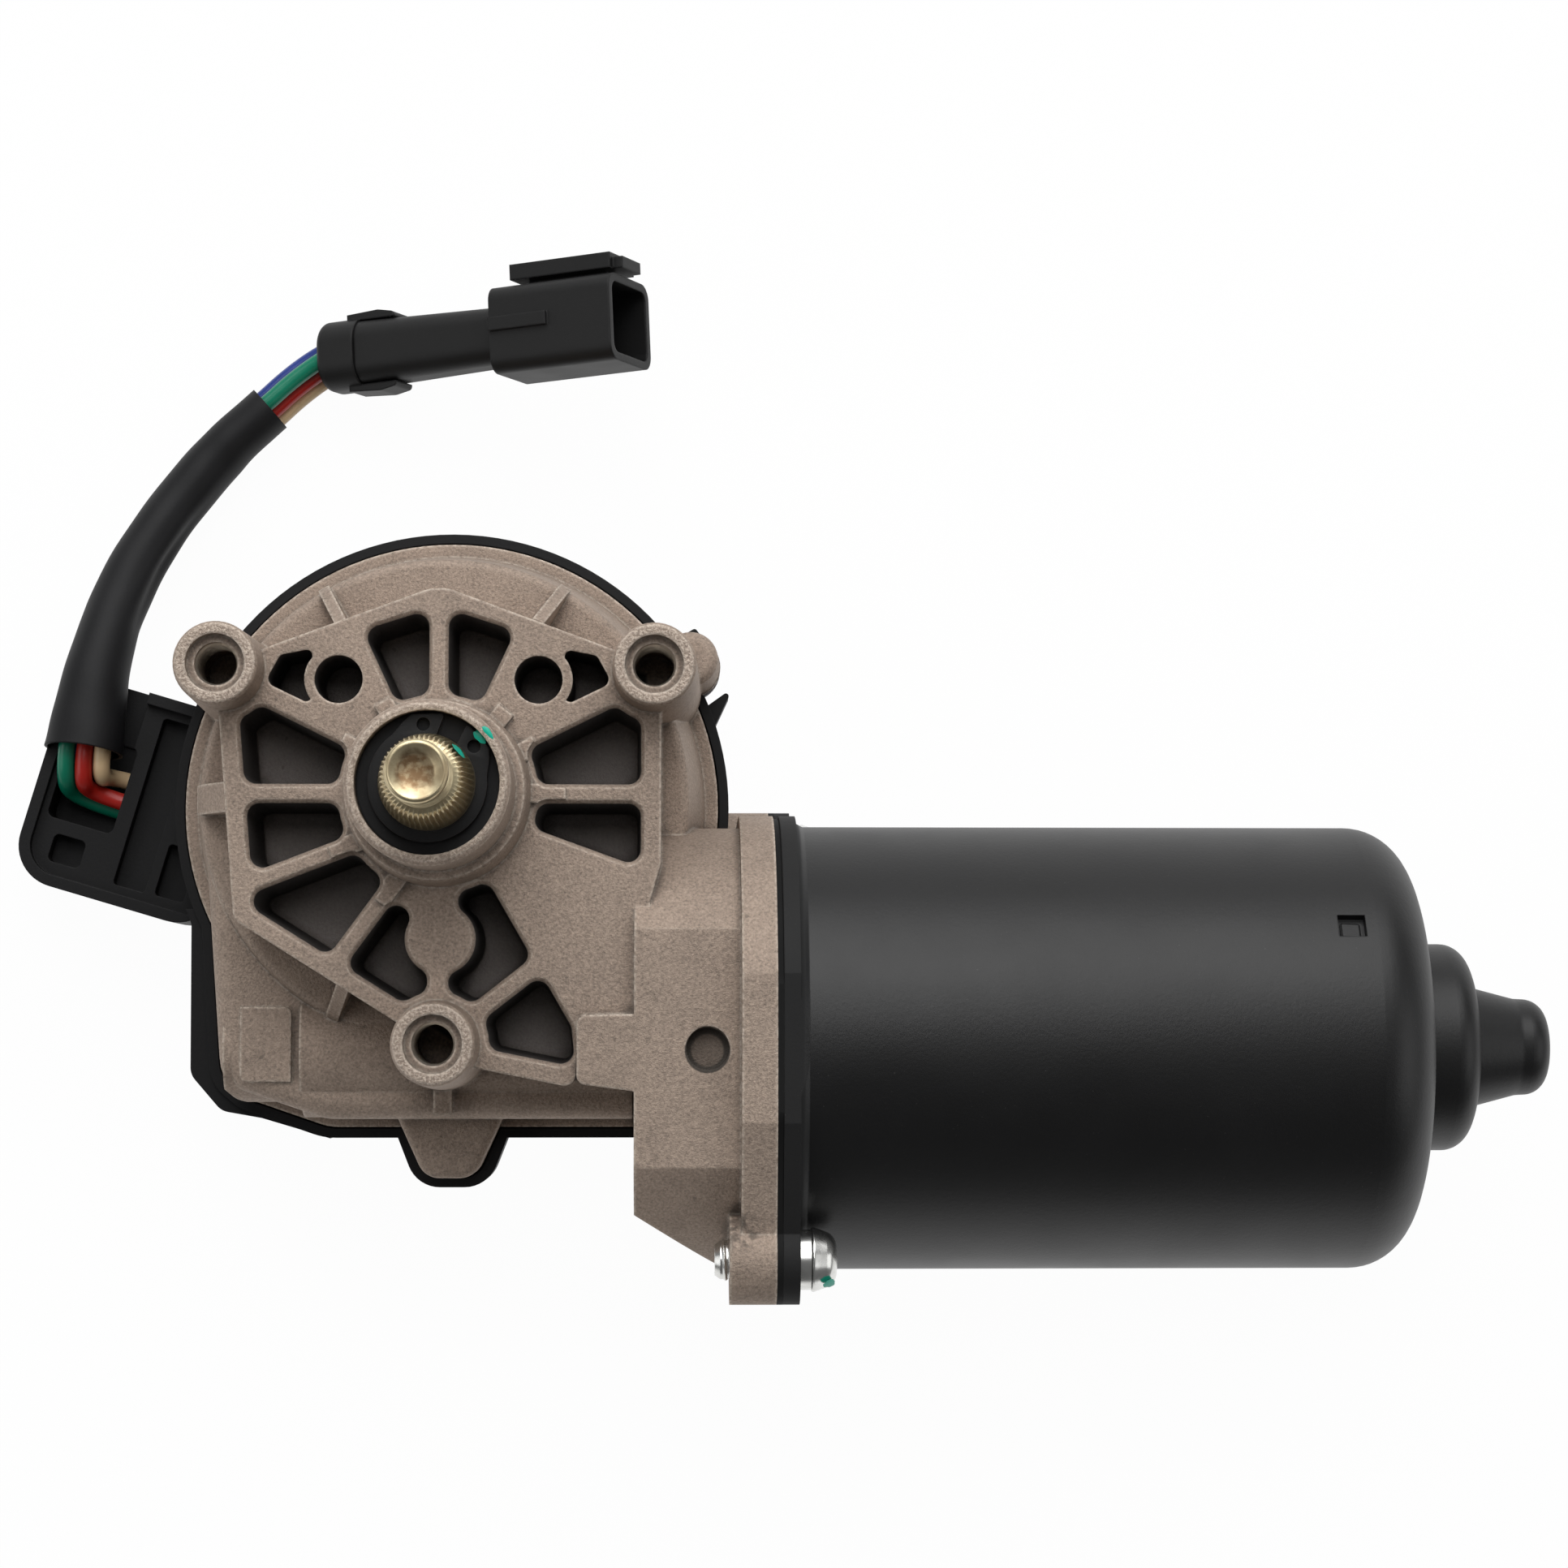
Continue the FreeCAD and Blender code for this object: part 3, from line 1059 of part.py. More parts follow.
def rear_bush_ring():
    """Ring pressed into the bearing pocket, which holds the rear bush."""
    ring = collar(CAP_R - CAN_WALL, REAR_BUSH_R - 1.6, REAR_BUSH_X - 1.5, REAR_BUSH_X + 2.2)
    centre = Vector(REAR_BUSH_X, AXIS_Y, AXIS_Z)
    return ring.cut(Part.makeSphere(REAR_BUSH_R + 0.02, centre, Vector(1, 0, 0)))


def thrust_ball():
    """Ball between the shaft's end and the nose."""
    radius = THRUST_BALL_D / 2
    return Part.makeSphere(radius, Vector(SHAFT_END + 0.05 + radius, AXIS_Y, AXIS_Z))


def brush_guide_span():
    """Inner and outer radius of a brush's box."""
    inner = COMMUTATOR_R + 2.6
    return inner, COMMUTATOR_R + BRUSH_FIT + BRUSH_LENGTH + SPRING_LENGTH


def brush_plate():
    """Moulded plate in the can's mouth that carries the brush boxes."""
    start = CAN_X + BRUSH_PLATE_GAP
    plate = collar(CAN_BORE_R - 0.1, COMMUTATOR_R + 2.4, start, start + BRUSH_PLATE_THICKNESS)
    return plate.cut(bar(LEAD_HOLE_R - 0.4, start - 1, start + 4, LEAD_AT))


def brush_plate_end():
    """The face of the brush plate that carries the brush boxes."""
    return CAN_X + BRUSH_PLATE_GAP + BRUSH_PLATE_THICKNESS


def brush_middle_x():
    """The middle of the brushes along the motor's axis."""
    return brush_plate_end() + GUIDE_WALL + BRUSH_CLEARANCE + BRUSH_DEPTH / 2


def radial_box(inner, outer, depth, width, angle):
    """Box that reaches from one radius to another, at an angle round the motor's axis."""
    middle = brush_middle_x()
    box = Part.makeBox(depth, outer - inner, width,
                       Vector(middle - depth / 2, AXIS_Y + inner, AXIS_Z - width / 2))
    return spun_on_motor(box, angle)


def brush_guides():
    """Three brass boxes on the brush plate, closed behind the springs."""
    inner, outer = brush_guide_span()
    wall = GUIDE_WALL
    boxes = []
    for angle in BRUSH_ANGLES.values():
        depth, width = BRUSH_DEPTH + 2 * BRUSH_CLEARANCE, BRUSH_WIDTH + 2 * BRUSH_CLEARANCE
        shell = radial_box(inner, outer + wall, depth + 2 * wall, width + 2 * wall, angle)
        boxes.append(shell.cut(radial_box(inner - 1, outer, depth, width, angle)))
    return Part.makeCompound(boxes)


def brush(angle):
    """Carbon brush, hollowed to the commutator's curve."""
    blank = radial_box(COMMUTATOR_R - 1.0, COMMUTATOR_R + BRUSH_LENGTH, BRUSH_DEPTH, BRUSH_WIDTH, angle)
    return blank.cut(bar(COMMUTATOR_R + BRUSH_FIT, CAN_X, CAN_X + 40))


def brush_spring(angle):
    """Coil spring between a brush and the end of its box."""
    inner = COMMUTATOR_R + BRUSH_LENGTH + BRUSH_FIT
    outer = brush_guide_span()[1] - 0.05
    length = outer - inner - 2 * SPRING_WIRE_R
    helix = Part.makeLongHelix(length / SPRING_TURNS, length, SPRING_R, 0)
    ring = Part.Wire(Part.Circle(Vector(SPRING_R, 0, 0), Vector(0, 1, 0), SPRING_WIRE_R).toShape())
    coil = Part.Wire(helix.Edges).makePipeShell([ring], True, True)
    coil.rotate(Vector(0, 0, 0), Vector(1, 0, 0), -90)
    coil = coil.translated(Vector(brush_middle_x(), AXIS_Y + inner + SPRING_WIRE_R, AXIS_Z))
    return spun_on_motor(coil, angle)


def choke_coils():
    """Two suppression chokes on the brush plate: a ferrite rod in its winding."""
    coils = []
    for angle in (150.0, 20.0):
        centre = round_the_axis(angle, 20.0)
        spot = (centre.y - AXIS_Y, centre.z - AXIS_Z)
        coils.append(bar(2.6, brush_plate_end(), brush_plate_end() + 12.0, spot))
    return Part.makeCompound(coils)


def circuit_breaker():
    """Thermal circuit breaker on the brush plate."""
    box = Part.makeBox(9.0, 7.0, 12.0, Vector(brush_plate_end(), AXIS_Y + 14.5, AXIS_Z - 6.0))
    return spun_on_motor(box, 330.0)


def output_shaft():
    """Steel output shaft: journal, clip groove, tapered knurl and threaded stud."""
    foot = CHAMBER_TOP - 13.5
    groove = SHAFT_R - CLIP_GROOVE_DEPTH
    top = STUD_Z + STUD_LENGTH
    shaft = turned([
        (0, foot), (SHAFT_R - 1.5, foot), (SHAFT_R, foot + 1.5), (SHAFT_R, CLIP_Z), (groove, CLIP_Z),
        (groove, CLIP_Z + CLIP_THICKNESS), (SHAFT_R, CLIP_Z + CLIP_THICKNESS), (SHAFT_R, KNURL_Z),
        (KNURL_TOP_R, STUD_Z), (KNURL_TOP_R - 0.5, STUD_Z + 0.5), (STUD_R, STUD_Z + 0.5),
        (STUD_R, top - 1.2), (STUD_R - 1.2, top, 0.8), (2.2, top), (1.6, top - 0.7), (0, top - 0.7)])
    grooves = []
    lean = math.degrees(math.atan2(SHAFT_R - KNURL_TOP_R, KNURL_LENGTH))
    for i in range(KNURL_TEETH):
        half = math.pi * SHAFT_R / KNURL_TEETH * 0.55
        cutter = Part.Face(Part.makePolygon([
            Vector(-KNURL_DEPTH, 0, -0.2), Vector(0.3, -half, -0.2), Vector(0.3, half, -0.2),
            Vector(-KNURL_DEPTH, 0, -0.2)])).extrude(Vector(0, 0, KNURL_LENGTH + 0.9))
        cutter.rotate(Vector(0, 0, 0), Vector(0, 1, 0), -lean)
        grooves.append(spun(cutter.translated(Vector(SHAFT_R, 0, KNURL_Z)), 360.0 * i / KNURL_TEETH))
    return shaft.cut(Part.makeCompound(grooves))


def shaft_bush(low, high):
    """Sintered bush in the hub."""
    return tube_ring(BUSH_R, SHAFT_R + RUNNING_CLEARANCE, low, high)


def shaft_seal_ring():
    """O-ring above the upper bush, under the washer."""
    section = (BUSH_WALL - 0.2) / 2
    return Part.makeTorus(SHAFT_R + 0.1 + section, section, Vector(0, 0, WASHER_Z - section))


def hub_washer():
    """Black washer in the collar's recess."""
    return tube_ring(COLLAR_RECESS_R - 0.1, SHAFT_R + 0.1, WASHER_Z, WASHER_Z + WASHER_THICKNESS)


def wheel_washer():
    """Thrust washer between the wheel and the chamber's roof."""
    return tube_ring(9.0, SHAFT_R + 0.1, WHEEL_TOP + 0.05, CHAMBER_TOP)


def retaining_clip():
    """Circlip in the shaft's groove, with an ear at each end of its gap."""
    groove = SHAFT_R - CLIP_GROOVE_DEPTH
    high = CLIP_Z + CLIP_THICKNESS
    ring = tube_ring(SHAFT_R + 1.1, groove, CLIP_Z, high)
    ears = []
    holes = []
    for angle in (38.0, 94.0):
        spot = direction(angle) * (SHAFT_R + 1.3)
        ears.append(rod(1.35, CLIP_Z, high, spot.x, spot.y).cut(rod(groove, CLIP_Z - 1, high + 1)))
        holes.append(rod(0.75, CLIP_Z - 1, high + 1, spot.x, spot.y))
    a, b = direction(52.0) * 20, direction(80.0) * 20
    gap = prism([(0, 0), (a.x, a.y), (b.x, b.y)], CLIP_Z - 1, high + 1)
    return fused(ring, ears).cut([gap] + holes)


def wheel_outline(z, twist):
    """The wheel's toothed outline at a height, turned by twist radians."""
    pitch = 2 * math.pi / WHEEL_TEETH
    slope = math.tan(math.radians(PRESSURE_ANGLE))
    half = pitch / 4 - FLANK_CLEARANCE / PITCH_R
    root = half + (PITCH_R - WHEEL_ROOT_R) * slope / PITCH_R
    tip = half - ADDENDUM * slope / PITCH_R
    points = []
    for i in range(WHEEL_TEETH):
        middle = pitch * (i + 0.5) + twist - math.pi / 2
        for turn, radius in ((-root, WHEEL_ROOT_R), (-tip, WHEEL_TIP_R), (tip, WHEEL_TIP_R),
                             (root, WHEEL_ROOT_R)):
            angle = middle + turn
            points.append(Vector(radius * math.cos(angle), radius * math.sin(angle), z))
    return Part.makePolygon(points + points[:1])


def worm_wheel():
    """Moulded wheel: slanting teeth, a rim, a web with ribs and a hub on the shaft."""
    lead_angle = math.atan2(WORM_LEAD, math.pi * WORM_PITCH_D)
    twist = WHEEL_WIDTH / 2 * math.tan(lead_angle) / PITCH_R
    blank = Part.makeLoft([wheel_outline(WHEEL_BOTTOM, -twist), wheel_outline(WHEEL_TOP, twist)],
                          True, True)
    recess = tube_ring(WHEEL_ROOT_R - 2.2, 9.4, WHEEL_BOTTOM + 4.0, WHEEL_TOP + 1)
    ribs = []
    for i in range(6):
        rib = Part.makeBox(WHEEL_ROOT_R - 9.0, 1.6, WHEEL_WIDTH, Vector(8.0, -0.8, WHEEL_BOTTOM))
        ribs.append(spun(rib, 60.0 * i))
    ribs = Part.makeCompound(ribs).common(tube_ring(WHEEL_ROOT_R - 1.0, 8.0, WHEEL_BOTTOM,
                                                    WHEEL_TOP - 1.5))
    return fused(blank.cut(recess), ribs.Solids).cut(rod(SHAFT_R, WHEEL_BOTTOM - 1, WHEEL_TOP + 1))


def park_ring():
    """Copper track under the wheel, with the gap that marks the parked position."""
    ring = tube_ring(21.0, 12.0, WHEEL_BOTTOM - 0.4, WHEEL_BOTTOM)
    a, b = direction(250.0) * 40, direction(280.0) * 40
    gap = prism([(0, 0), (a.x, a.y), (b.x, b.y)], WHEEL_BOTTOM - 1, WHEEL_BOTTOM + 1)
    return ring.cut(gap.cut(rod(16.5, -80, 0)))


def contact_plate():
    """Moulded plate in the cover that carries the park contacts."""
    low = COVER_TOP - CONTACT_PLATE_DROP
    plate = rod(26.0, low, low + CONTACT_PLATE_THICKNESS)
    posts = [spun(rod(2.2, COVER_BACK + COVER_WALL, low, 22.0), angle) for angle in (30, 135, 225, 290)]
    cutters = [rod(7.0, low - 1, low + 3), bar(LEAD_HOLE_R, 12.0, BELL_X, LEAD_AT)]
    return fused(plate, posts).cut(cutters + bell_clearance(COVER_WALL + COVER_GAP))


def park_contacts():
    """Three spring fingers from the contact plate up to the copper track."""
    low = COVER_TOP - CONTACT_PLATE_DROP + CONTACT_PLATE_THICKNESS
    high = WHEEL_BOTTOM - 0.4 - 0.1
    fingers = []
    for radius in (13.5, 16.5, 19.5):
        arm = Part.Face(Part.makePolygon([
            Vector(0, 0, low), Vector(4.0, 0, low), Vector(4.0, 0, low + 0.5),
            Vector(13.0, 0, high - 0.5), Vector(14.0, 0, high), Vector(12.6, 0, high),
            Vector(3.6, 0, low + 0.9), Vector(0, 0, low + 0.5), Vector(0, 0, low)]))
        finger = arm.extrude(Vector(0, 1.6, 0)).translated(Vector(-7.0, radius - 0.8, 0))
        fingers.append(finger)
    return Part.makeCompound(fingers)


def lead_route(offset):
    """One brush lead, from the brush plate through the bell to the contact plate."""
    y, z = AXIS_Y + LEAD_AT[0] + offset, AXIS_Z + LEAD_AT[1]
    return [(CAN_X + 1.0, y, z), (BELL_X - 7.0, y, z), (BELL_X - 11.0, y + 0.4, z - 1.0)]


def brush_leads():
    """Three insulated leads side by side."""
    return Part.makeCompound([tube(lead_route(offset), 0.8) for offset in (-1.7, 0.0, 1.7)])


def lead_grommet():
    """Rubber grommet round the brush leads where they enter the cover."""
    ring = bar(LEAD_HOLE_R, BELL_X - 1.0, BELL_X + 4.0, LEAD_AT)
    return ring.cut([tube(lead_route(offset), 0.8) for offset in (-1.7, 0.0, 1.7)])


def offset_route(points, sideways, above):
    """A route moved sideways and up, turned round the bundle by its twist on the way."""
    moved = []
    for i, point in enumerate(points):
        share = min(max(i - 1, 0) / (len(SLEEVE_ROUTE) - 1), 1.0)
        turn = math.radians(BUNDLE_TWIST) * share
        across = sideways * math.cos(turn) - above * math.sin(turn)
        up = sideways * math.sin(turn) + above * math.cos(turn)
        here = Vector(*point)
        back = Vector(*points[max(i - 1, 0)])
        on = Vector(*points[min(i + 1, len(points) - 1)])
        before, after = here - back, on - here
        steps = [Vector(s.x, s.y, 0).normalize() for s in (before, after) if s.Length > EPS]
        along = Vector(0, 0, 0)
        for step in steps:
            along = along + step
        along.normalize()
        stretch = 1.0 / max(along.dot(steps[0]), 0.5)
        side = Vector(along.y, -along.x, 0) * (across * stretch)
        slope = on - back
        lift = up * slope.Length / math.hypot(slope.x, slope.y)
        moved.append(tuple(here + side + Vector(0, 0, lift)))
    return moved


def along_plug(distance):
    """A point on the connector's own line, from the middle of its rear face."""
    tilt, turn = math.radians(PLUG_TILT), math.radians(PLUG_TURN)
    flat = distance * math.cos(tilt)
    return tuple(Vector(*PLUG_AT) + Vector(
        flat * math.cos(turn), flat * math.sin(turn), distance * math.sin(tilt)))


def wire_route(name):
    """The points of one wire, from its hole in the block into the connector's cap."""
    across, up = WIRES[name]
    ends = [along_plug(CAP_DEPTH * 0.15), along_plug(CAP_DEPTH * 0.75)]
    track = offset_route([BUNDLE_BEND] + SLEEVE_ROUTE + PLUG_ROUTE + ends, across, up)
    bend = Vector(*track[0]) + Vector(0, -up, 0)
    if name in WALL_WIRES:
        u, v, depth = WALL_WIRES[name]
        z = -BLOCK_TOP_DROP - depth
        hole, turn = in_block(WIRE_HOLE_U + WIRE_GRIP, v), in_block(u, v)
        start = [(hole.x, hole.y, z), (turn.x, turn.y, z)]
    else:
        low = -BLOCK_TOP_DROP - BLOCK_POCKET_DEPTH - WIRE_GRIP
        start = [(bend.x, bend.y + 0.5, low)]
    return start + [tuple(bend)] + track[2:]


def wire(name):
    """One insulated wire."""
    return tube(wire_route(name), WIRE_R)


def harness_sleeve():
    """Soft sleeve round the five wires."""
    return tube(SLEEVE_ROUTE, SLEEVE_R).cut(tube(SLEEVE_ROUTE, SLEEVE_R - SLEEVE_WALL))


def placed_on_plug(shape):
    """Moves a shape from the connector's own frame, +X to its mouth, to its place."""
    shape = shape.rotated(Vector(0, 0, 0), Vector(0, 1, 0), -PLUG_TILT)
    shape = shape.rotated(Vector(0, 0, 0), Vector(0, 0, 1), PLUG_TURN)
    return shape.translated(Vector(*PLUG_AT))


def plug_section(y, z, x, radius):
    """Rounded section across the connector, half as wide as y and as high as z say."""
    ring = outline([(-z, -y, radius), (z, -y, radius), (z, y, radius), (-z, y, radius)])
    ring.rotate(Vector(0, 0, 0), Vector(0, 1, 0), 90)
    return ring.translated(Vector(x, 0, 0))


def plug_box(size, start, end, radius, shift=(0.0, 0.0)):
    """Rounded bar along the connector."""
    face = Part.Face(plug_section(size[0] / 2, size[1] / 2, start, radius))
    return face.extrude(Vector(end - start, 0, 0)).translated(Vector(0, shift[0], shift[1]))


def connector_shell():
    """Connector: tapered barrel, open-mouthed shell, key rib and clip rail."""
    start = CAP_DEPTH + BARREL_LENGTH
    end = start + SHELL_LENGTH
    y, z = BARREL_SIZE[0] / 2, BARREL_SIZE[1] / 2
    root = plug_section(y + BARREL_TAPER / 2, z + BARREL_TAPER / 2, CAP_DEPTH, 3.0)
    tip = plug_section(y, z, start + 0.5, 2.6)
    barrel = Part.makeLoft([root, tip], True, True)
    shell = plug_box(SHELL_SIZE, start, end, 2.2)
    mouth = plug_box((SHELL_SIZE[0] - 2 * SHELL_WALL, SHELL_SIZE[1] - 2 * SHELL_WALL),
                     start + SHELL_FLOOR, end + THROUGH, 1.4)
    top = SHELL_SIZE[1] / 2
    key = Part.makeBox(9.0, 1.9, 0.8, Vector(start, -0.4, top - 0.2))
    side = SHELL_SIZE[0] / 2
    rail = Part.makeBox(15.5, 2.2, 8.0, Vector(start + 2.2, side + 1.0, -4.0))
    step = Part.makeBox(1.6, 1.6, 6.0, Vector(start + 17.6, side + 1.0, -3.0))
    web = Part.makeBox(12.0, 1.2, 3.0, Vector(start + 4.0, side - 0.1, -1.5))
    return placed_on_plug(fused(barrel, [shell, key, rail, step, web]).cut([mouth]))


def connector_rear_cap():
    """Cap over the connector's wire seal, with an arm along each side of the barrel."""
    wide = BARREL_SIZE[0] + BARREL_TAPER
    cap = plug_box((wide + 0.9, BARREL_SIZE[1] + BARREL_TAPER + 0.9), 0.0, CAP_DEPTH, 4.0)
    back = [e for e in cap.Edges if abs(e.CenterOfMass.x) < EPS]
    cap = cap.makeFillet(1.2, back)
    arms = []
    for side in (-1, 1):
        y = side * (wide / 2 + 0.05)
        arms.append(prism([
            (CAP_DEPTH - 2.0, y - side * 0.6), (CAP_DEPTH - 2.0, y + side * 0.9),
            (CAP_DEPTH + 3.0, y + side * 1.2, 2.0), (CAP_DEPTH + 5.6, y + side * 0.7, 0.6),
            (CAP_DEPTH + 5.6, y), (CAP_DEPTH, y), (CAP_DEPTH, y - side * 0.6)], -2.4, 2.4))
    wires = [tube(wire_route(name), WIRE_R + 0.02) for name in WIRES]
    return placed_on_plug(fused(cap, arms)).cut(wires)


def pin_places():
    """Centre of each blade in the mouth, across and up."""
    return [(1.8, 2.9), (1.8, 0.4), (1.8, -2.1), (-2.2, 1.6), (-2.2, -1.0)]


def connector_pins():
    """Five tinned blades standing in the connector's mouth."""
    start = CAP_DEPTH + BARREL_LENGTH + SHELL_FLOOR
    return Part.makeCompound([
        placed_on_plug(plug_box(PIN_SIZE, start, start + PIN_LENGTH, 0.2, place))
        for place in pin_places()])


def build():
    """Every sub-part by its node's name."""
    outer_race, inner_race = bearing_rings()
    parts = {
        "gear_housing": gear_housing(),
        "gear_cover": gear_cover(),
        "cover_seal": cover_seal(),
        "cover_screws": cover_screws(),
        "motor_yoke": motor_yoke(),
        "yoke_gasket": yoke_gasket(),
        "yoke_screws": yoke_screws(),
        "field_magnets": field_magnets(),
        "magnet_springs": magnet_springs(),
        "brush_plate": brush_plate(),
        "brush_guides": brush_guides(),
        "choke_coils": choke_coils(),
        "circuit_breaker": circuit_breaker(),
        "front_bearing_outer": outer_race,
        "bearing_retainer": bearing_retainer(),
        "worm_end_bush": worm_end_bush(),
        "worm_thrust_pad": worm_thrust_pad(),
        "rear_bush": rear_bush(),
        "rear_bush_ring": rear_bush_ring(),
        "upper_shaft_bush": shaft_bush(WASHER_Z - BUSH_WALL - UPPER_BUSH_LENGTH, WASHER_Z - BUSH_WALL),
        "lower_shaft_bush": shaft_bush(CHAMBER_TOP, CHAMBER_TOP + LOWER_BUSH_LENGTH),
        "shaft_seal_ring": shaft_seal_ring(),
        "hub_washer": hub_washer(),
        "wheel_washer": wheel_washer(),
        "contact_plate": contact_plate(),
        "park_contacts": park_contacts(),
        "brush_leads": brush_leads(),
        "lead_grommet": lead_grommet(),
        "harness_sleeve": harness_sleeve(),
        "connector_shell": connector_shell(),
        "connector_rear_cap": connector_rear_cap(),
        "connector_pins": connector_pins(),
        "armature_shaft": armature_shaft(),
        "armature_core": armature_core(),
        "armature_windings": armature_windings(),
        "commutator_bars": commutator_bars(),
        "commutator_hub": commutator_hub(),
        "front_bearing_inner": inner_race,
        "thrust_ball": thrust_ball(),
        "bearing_balls": bearing_balls(),
        "bearing_cage": bearing_cage(),
        "output_shaft": output_shaft(),
        "worm_wheel": worm_wheel(),
        "park_ring": park_ring(),
        "retaining_clip": retaining_clip(),
    }
    for name in WIRES:
        parts["wire_" + name] = wire(name)
    for name, angle in BRUSH_ANGLES.items():
        parts["brush_" + name] = brush(angle)
        parts["brush_spring_" + name] = brush_spring(angle)
    return parts


def main():
    """Writes one STEP file for each sub-part."""
    os.makedirs("parts", exist_ok=True)
    for name, shape in build().items():
        shape.exportStep(os.path.join("parts", name + ".step"))
        print(name, len(shape.Solids), shape.isValid(), round(shape.Volume, 1))
    for name in WIRES:
        print("bends of wire_" + name, [round(r, 1) for r in bend_radii(wire_route(name))])


main()
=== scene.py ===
"""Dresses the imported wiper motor: finishes, threads, harness, lights and camera."""

import json
import logging
import math
from dataclasses import dataclass, field
from enum import Enum
from typing import Iterable, Optional, Union

import bmesh
import bpy
from mathutils import Matrix, Vector

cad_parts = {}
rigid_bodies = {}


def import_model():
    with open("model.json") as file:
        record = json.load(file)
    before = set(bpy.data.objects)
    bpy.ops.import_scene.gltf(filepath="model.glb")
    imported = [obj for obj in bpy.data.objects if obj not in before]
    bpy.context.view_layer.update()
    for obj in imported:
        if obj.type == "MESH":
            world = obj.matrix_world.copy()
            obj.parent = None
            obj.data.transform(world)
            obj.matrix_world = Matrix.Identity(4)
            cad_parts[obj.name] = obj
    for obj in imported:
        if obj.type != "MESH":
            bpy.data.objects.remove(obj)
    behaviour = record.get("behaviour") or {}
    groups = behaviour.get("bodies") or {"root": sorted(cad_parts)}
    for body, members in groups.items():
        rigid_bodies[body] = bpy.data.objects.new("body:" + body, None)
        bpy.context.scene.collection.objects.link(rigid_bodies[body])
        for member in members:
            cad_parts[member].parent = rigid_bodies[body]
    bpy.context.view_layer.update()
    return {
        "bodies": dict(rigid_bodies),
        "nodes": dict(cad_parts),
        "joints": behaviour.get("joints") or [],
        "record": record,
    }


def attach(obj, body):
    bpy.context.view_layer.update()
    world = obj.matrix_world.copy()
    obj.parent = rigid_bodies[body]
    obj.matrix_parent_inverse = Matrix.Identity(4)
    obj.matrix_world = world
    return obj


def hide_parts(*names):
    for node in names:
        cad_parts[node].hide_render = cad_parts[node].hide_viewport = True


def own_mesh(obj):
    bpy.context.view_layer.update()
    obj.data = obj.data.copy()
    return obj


LOG = logging.getLogger("wiper_motor")

Number = Union[int, float]
Colour = tuple[float, float, float]
Paint = Union[Colour, bpy.types.NodeSocket]
Place = Union[tuple[float, float, float], Vector]
Route = list[tuple[float, float, float]]


class Body(Enum):
    """The bodies that new pieces ride on."""

    ROOT = "root"
    OUTPUT = "output"


class Finish(Enum):
    """The motor's finishes, each with its material's name."""

    CAST = "cast_aluminium"
    BORE = "cut_aluminium"
    PAINT = "black_paint"
    CLIP = "black_steel"
    PLASTIC = "black_plastic"
    PLUG = "plug_plastic"
    RUBBER = "seal_rubber"
    BROWN = "brown_plastic"
    NYLON = "wheel_plastic"
    CARBON = "carbon"
    FERRITE = "ferrite"
    SHAFT = "zinc_steel"
    SCREW = "bright_screw"
    STEEL = "bare_steel"
    COPPER = "copper"
    BRASS = "brass"
    BRONZE = "sintered_bronze"
    SLEEVE = "sleeve_vinyl"
    GREEN = "wire_green"
    RED = "wire_red"
    WHITE = "wire_white"
    BLUE = "wire_blue"
    BLACK = "wire_black"
    MARK = "inspection_mark"
    LAMINATION = "lamination"
    WINDING = "winding_copper"

    def slot(self) -> str:
        """The record's material slot for a new piece with this finish."""
        return {Finish.BORE: "cast_aluminium", Finish.MARK: "wire_green"}.get(self, self.value)


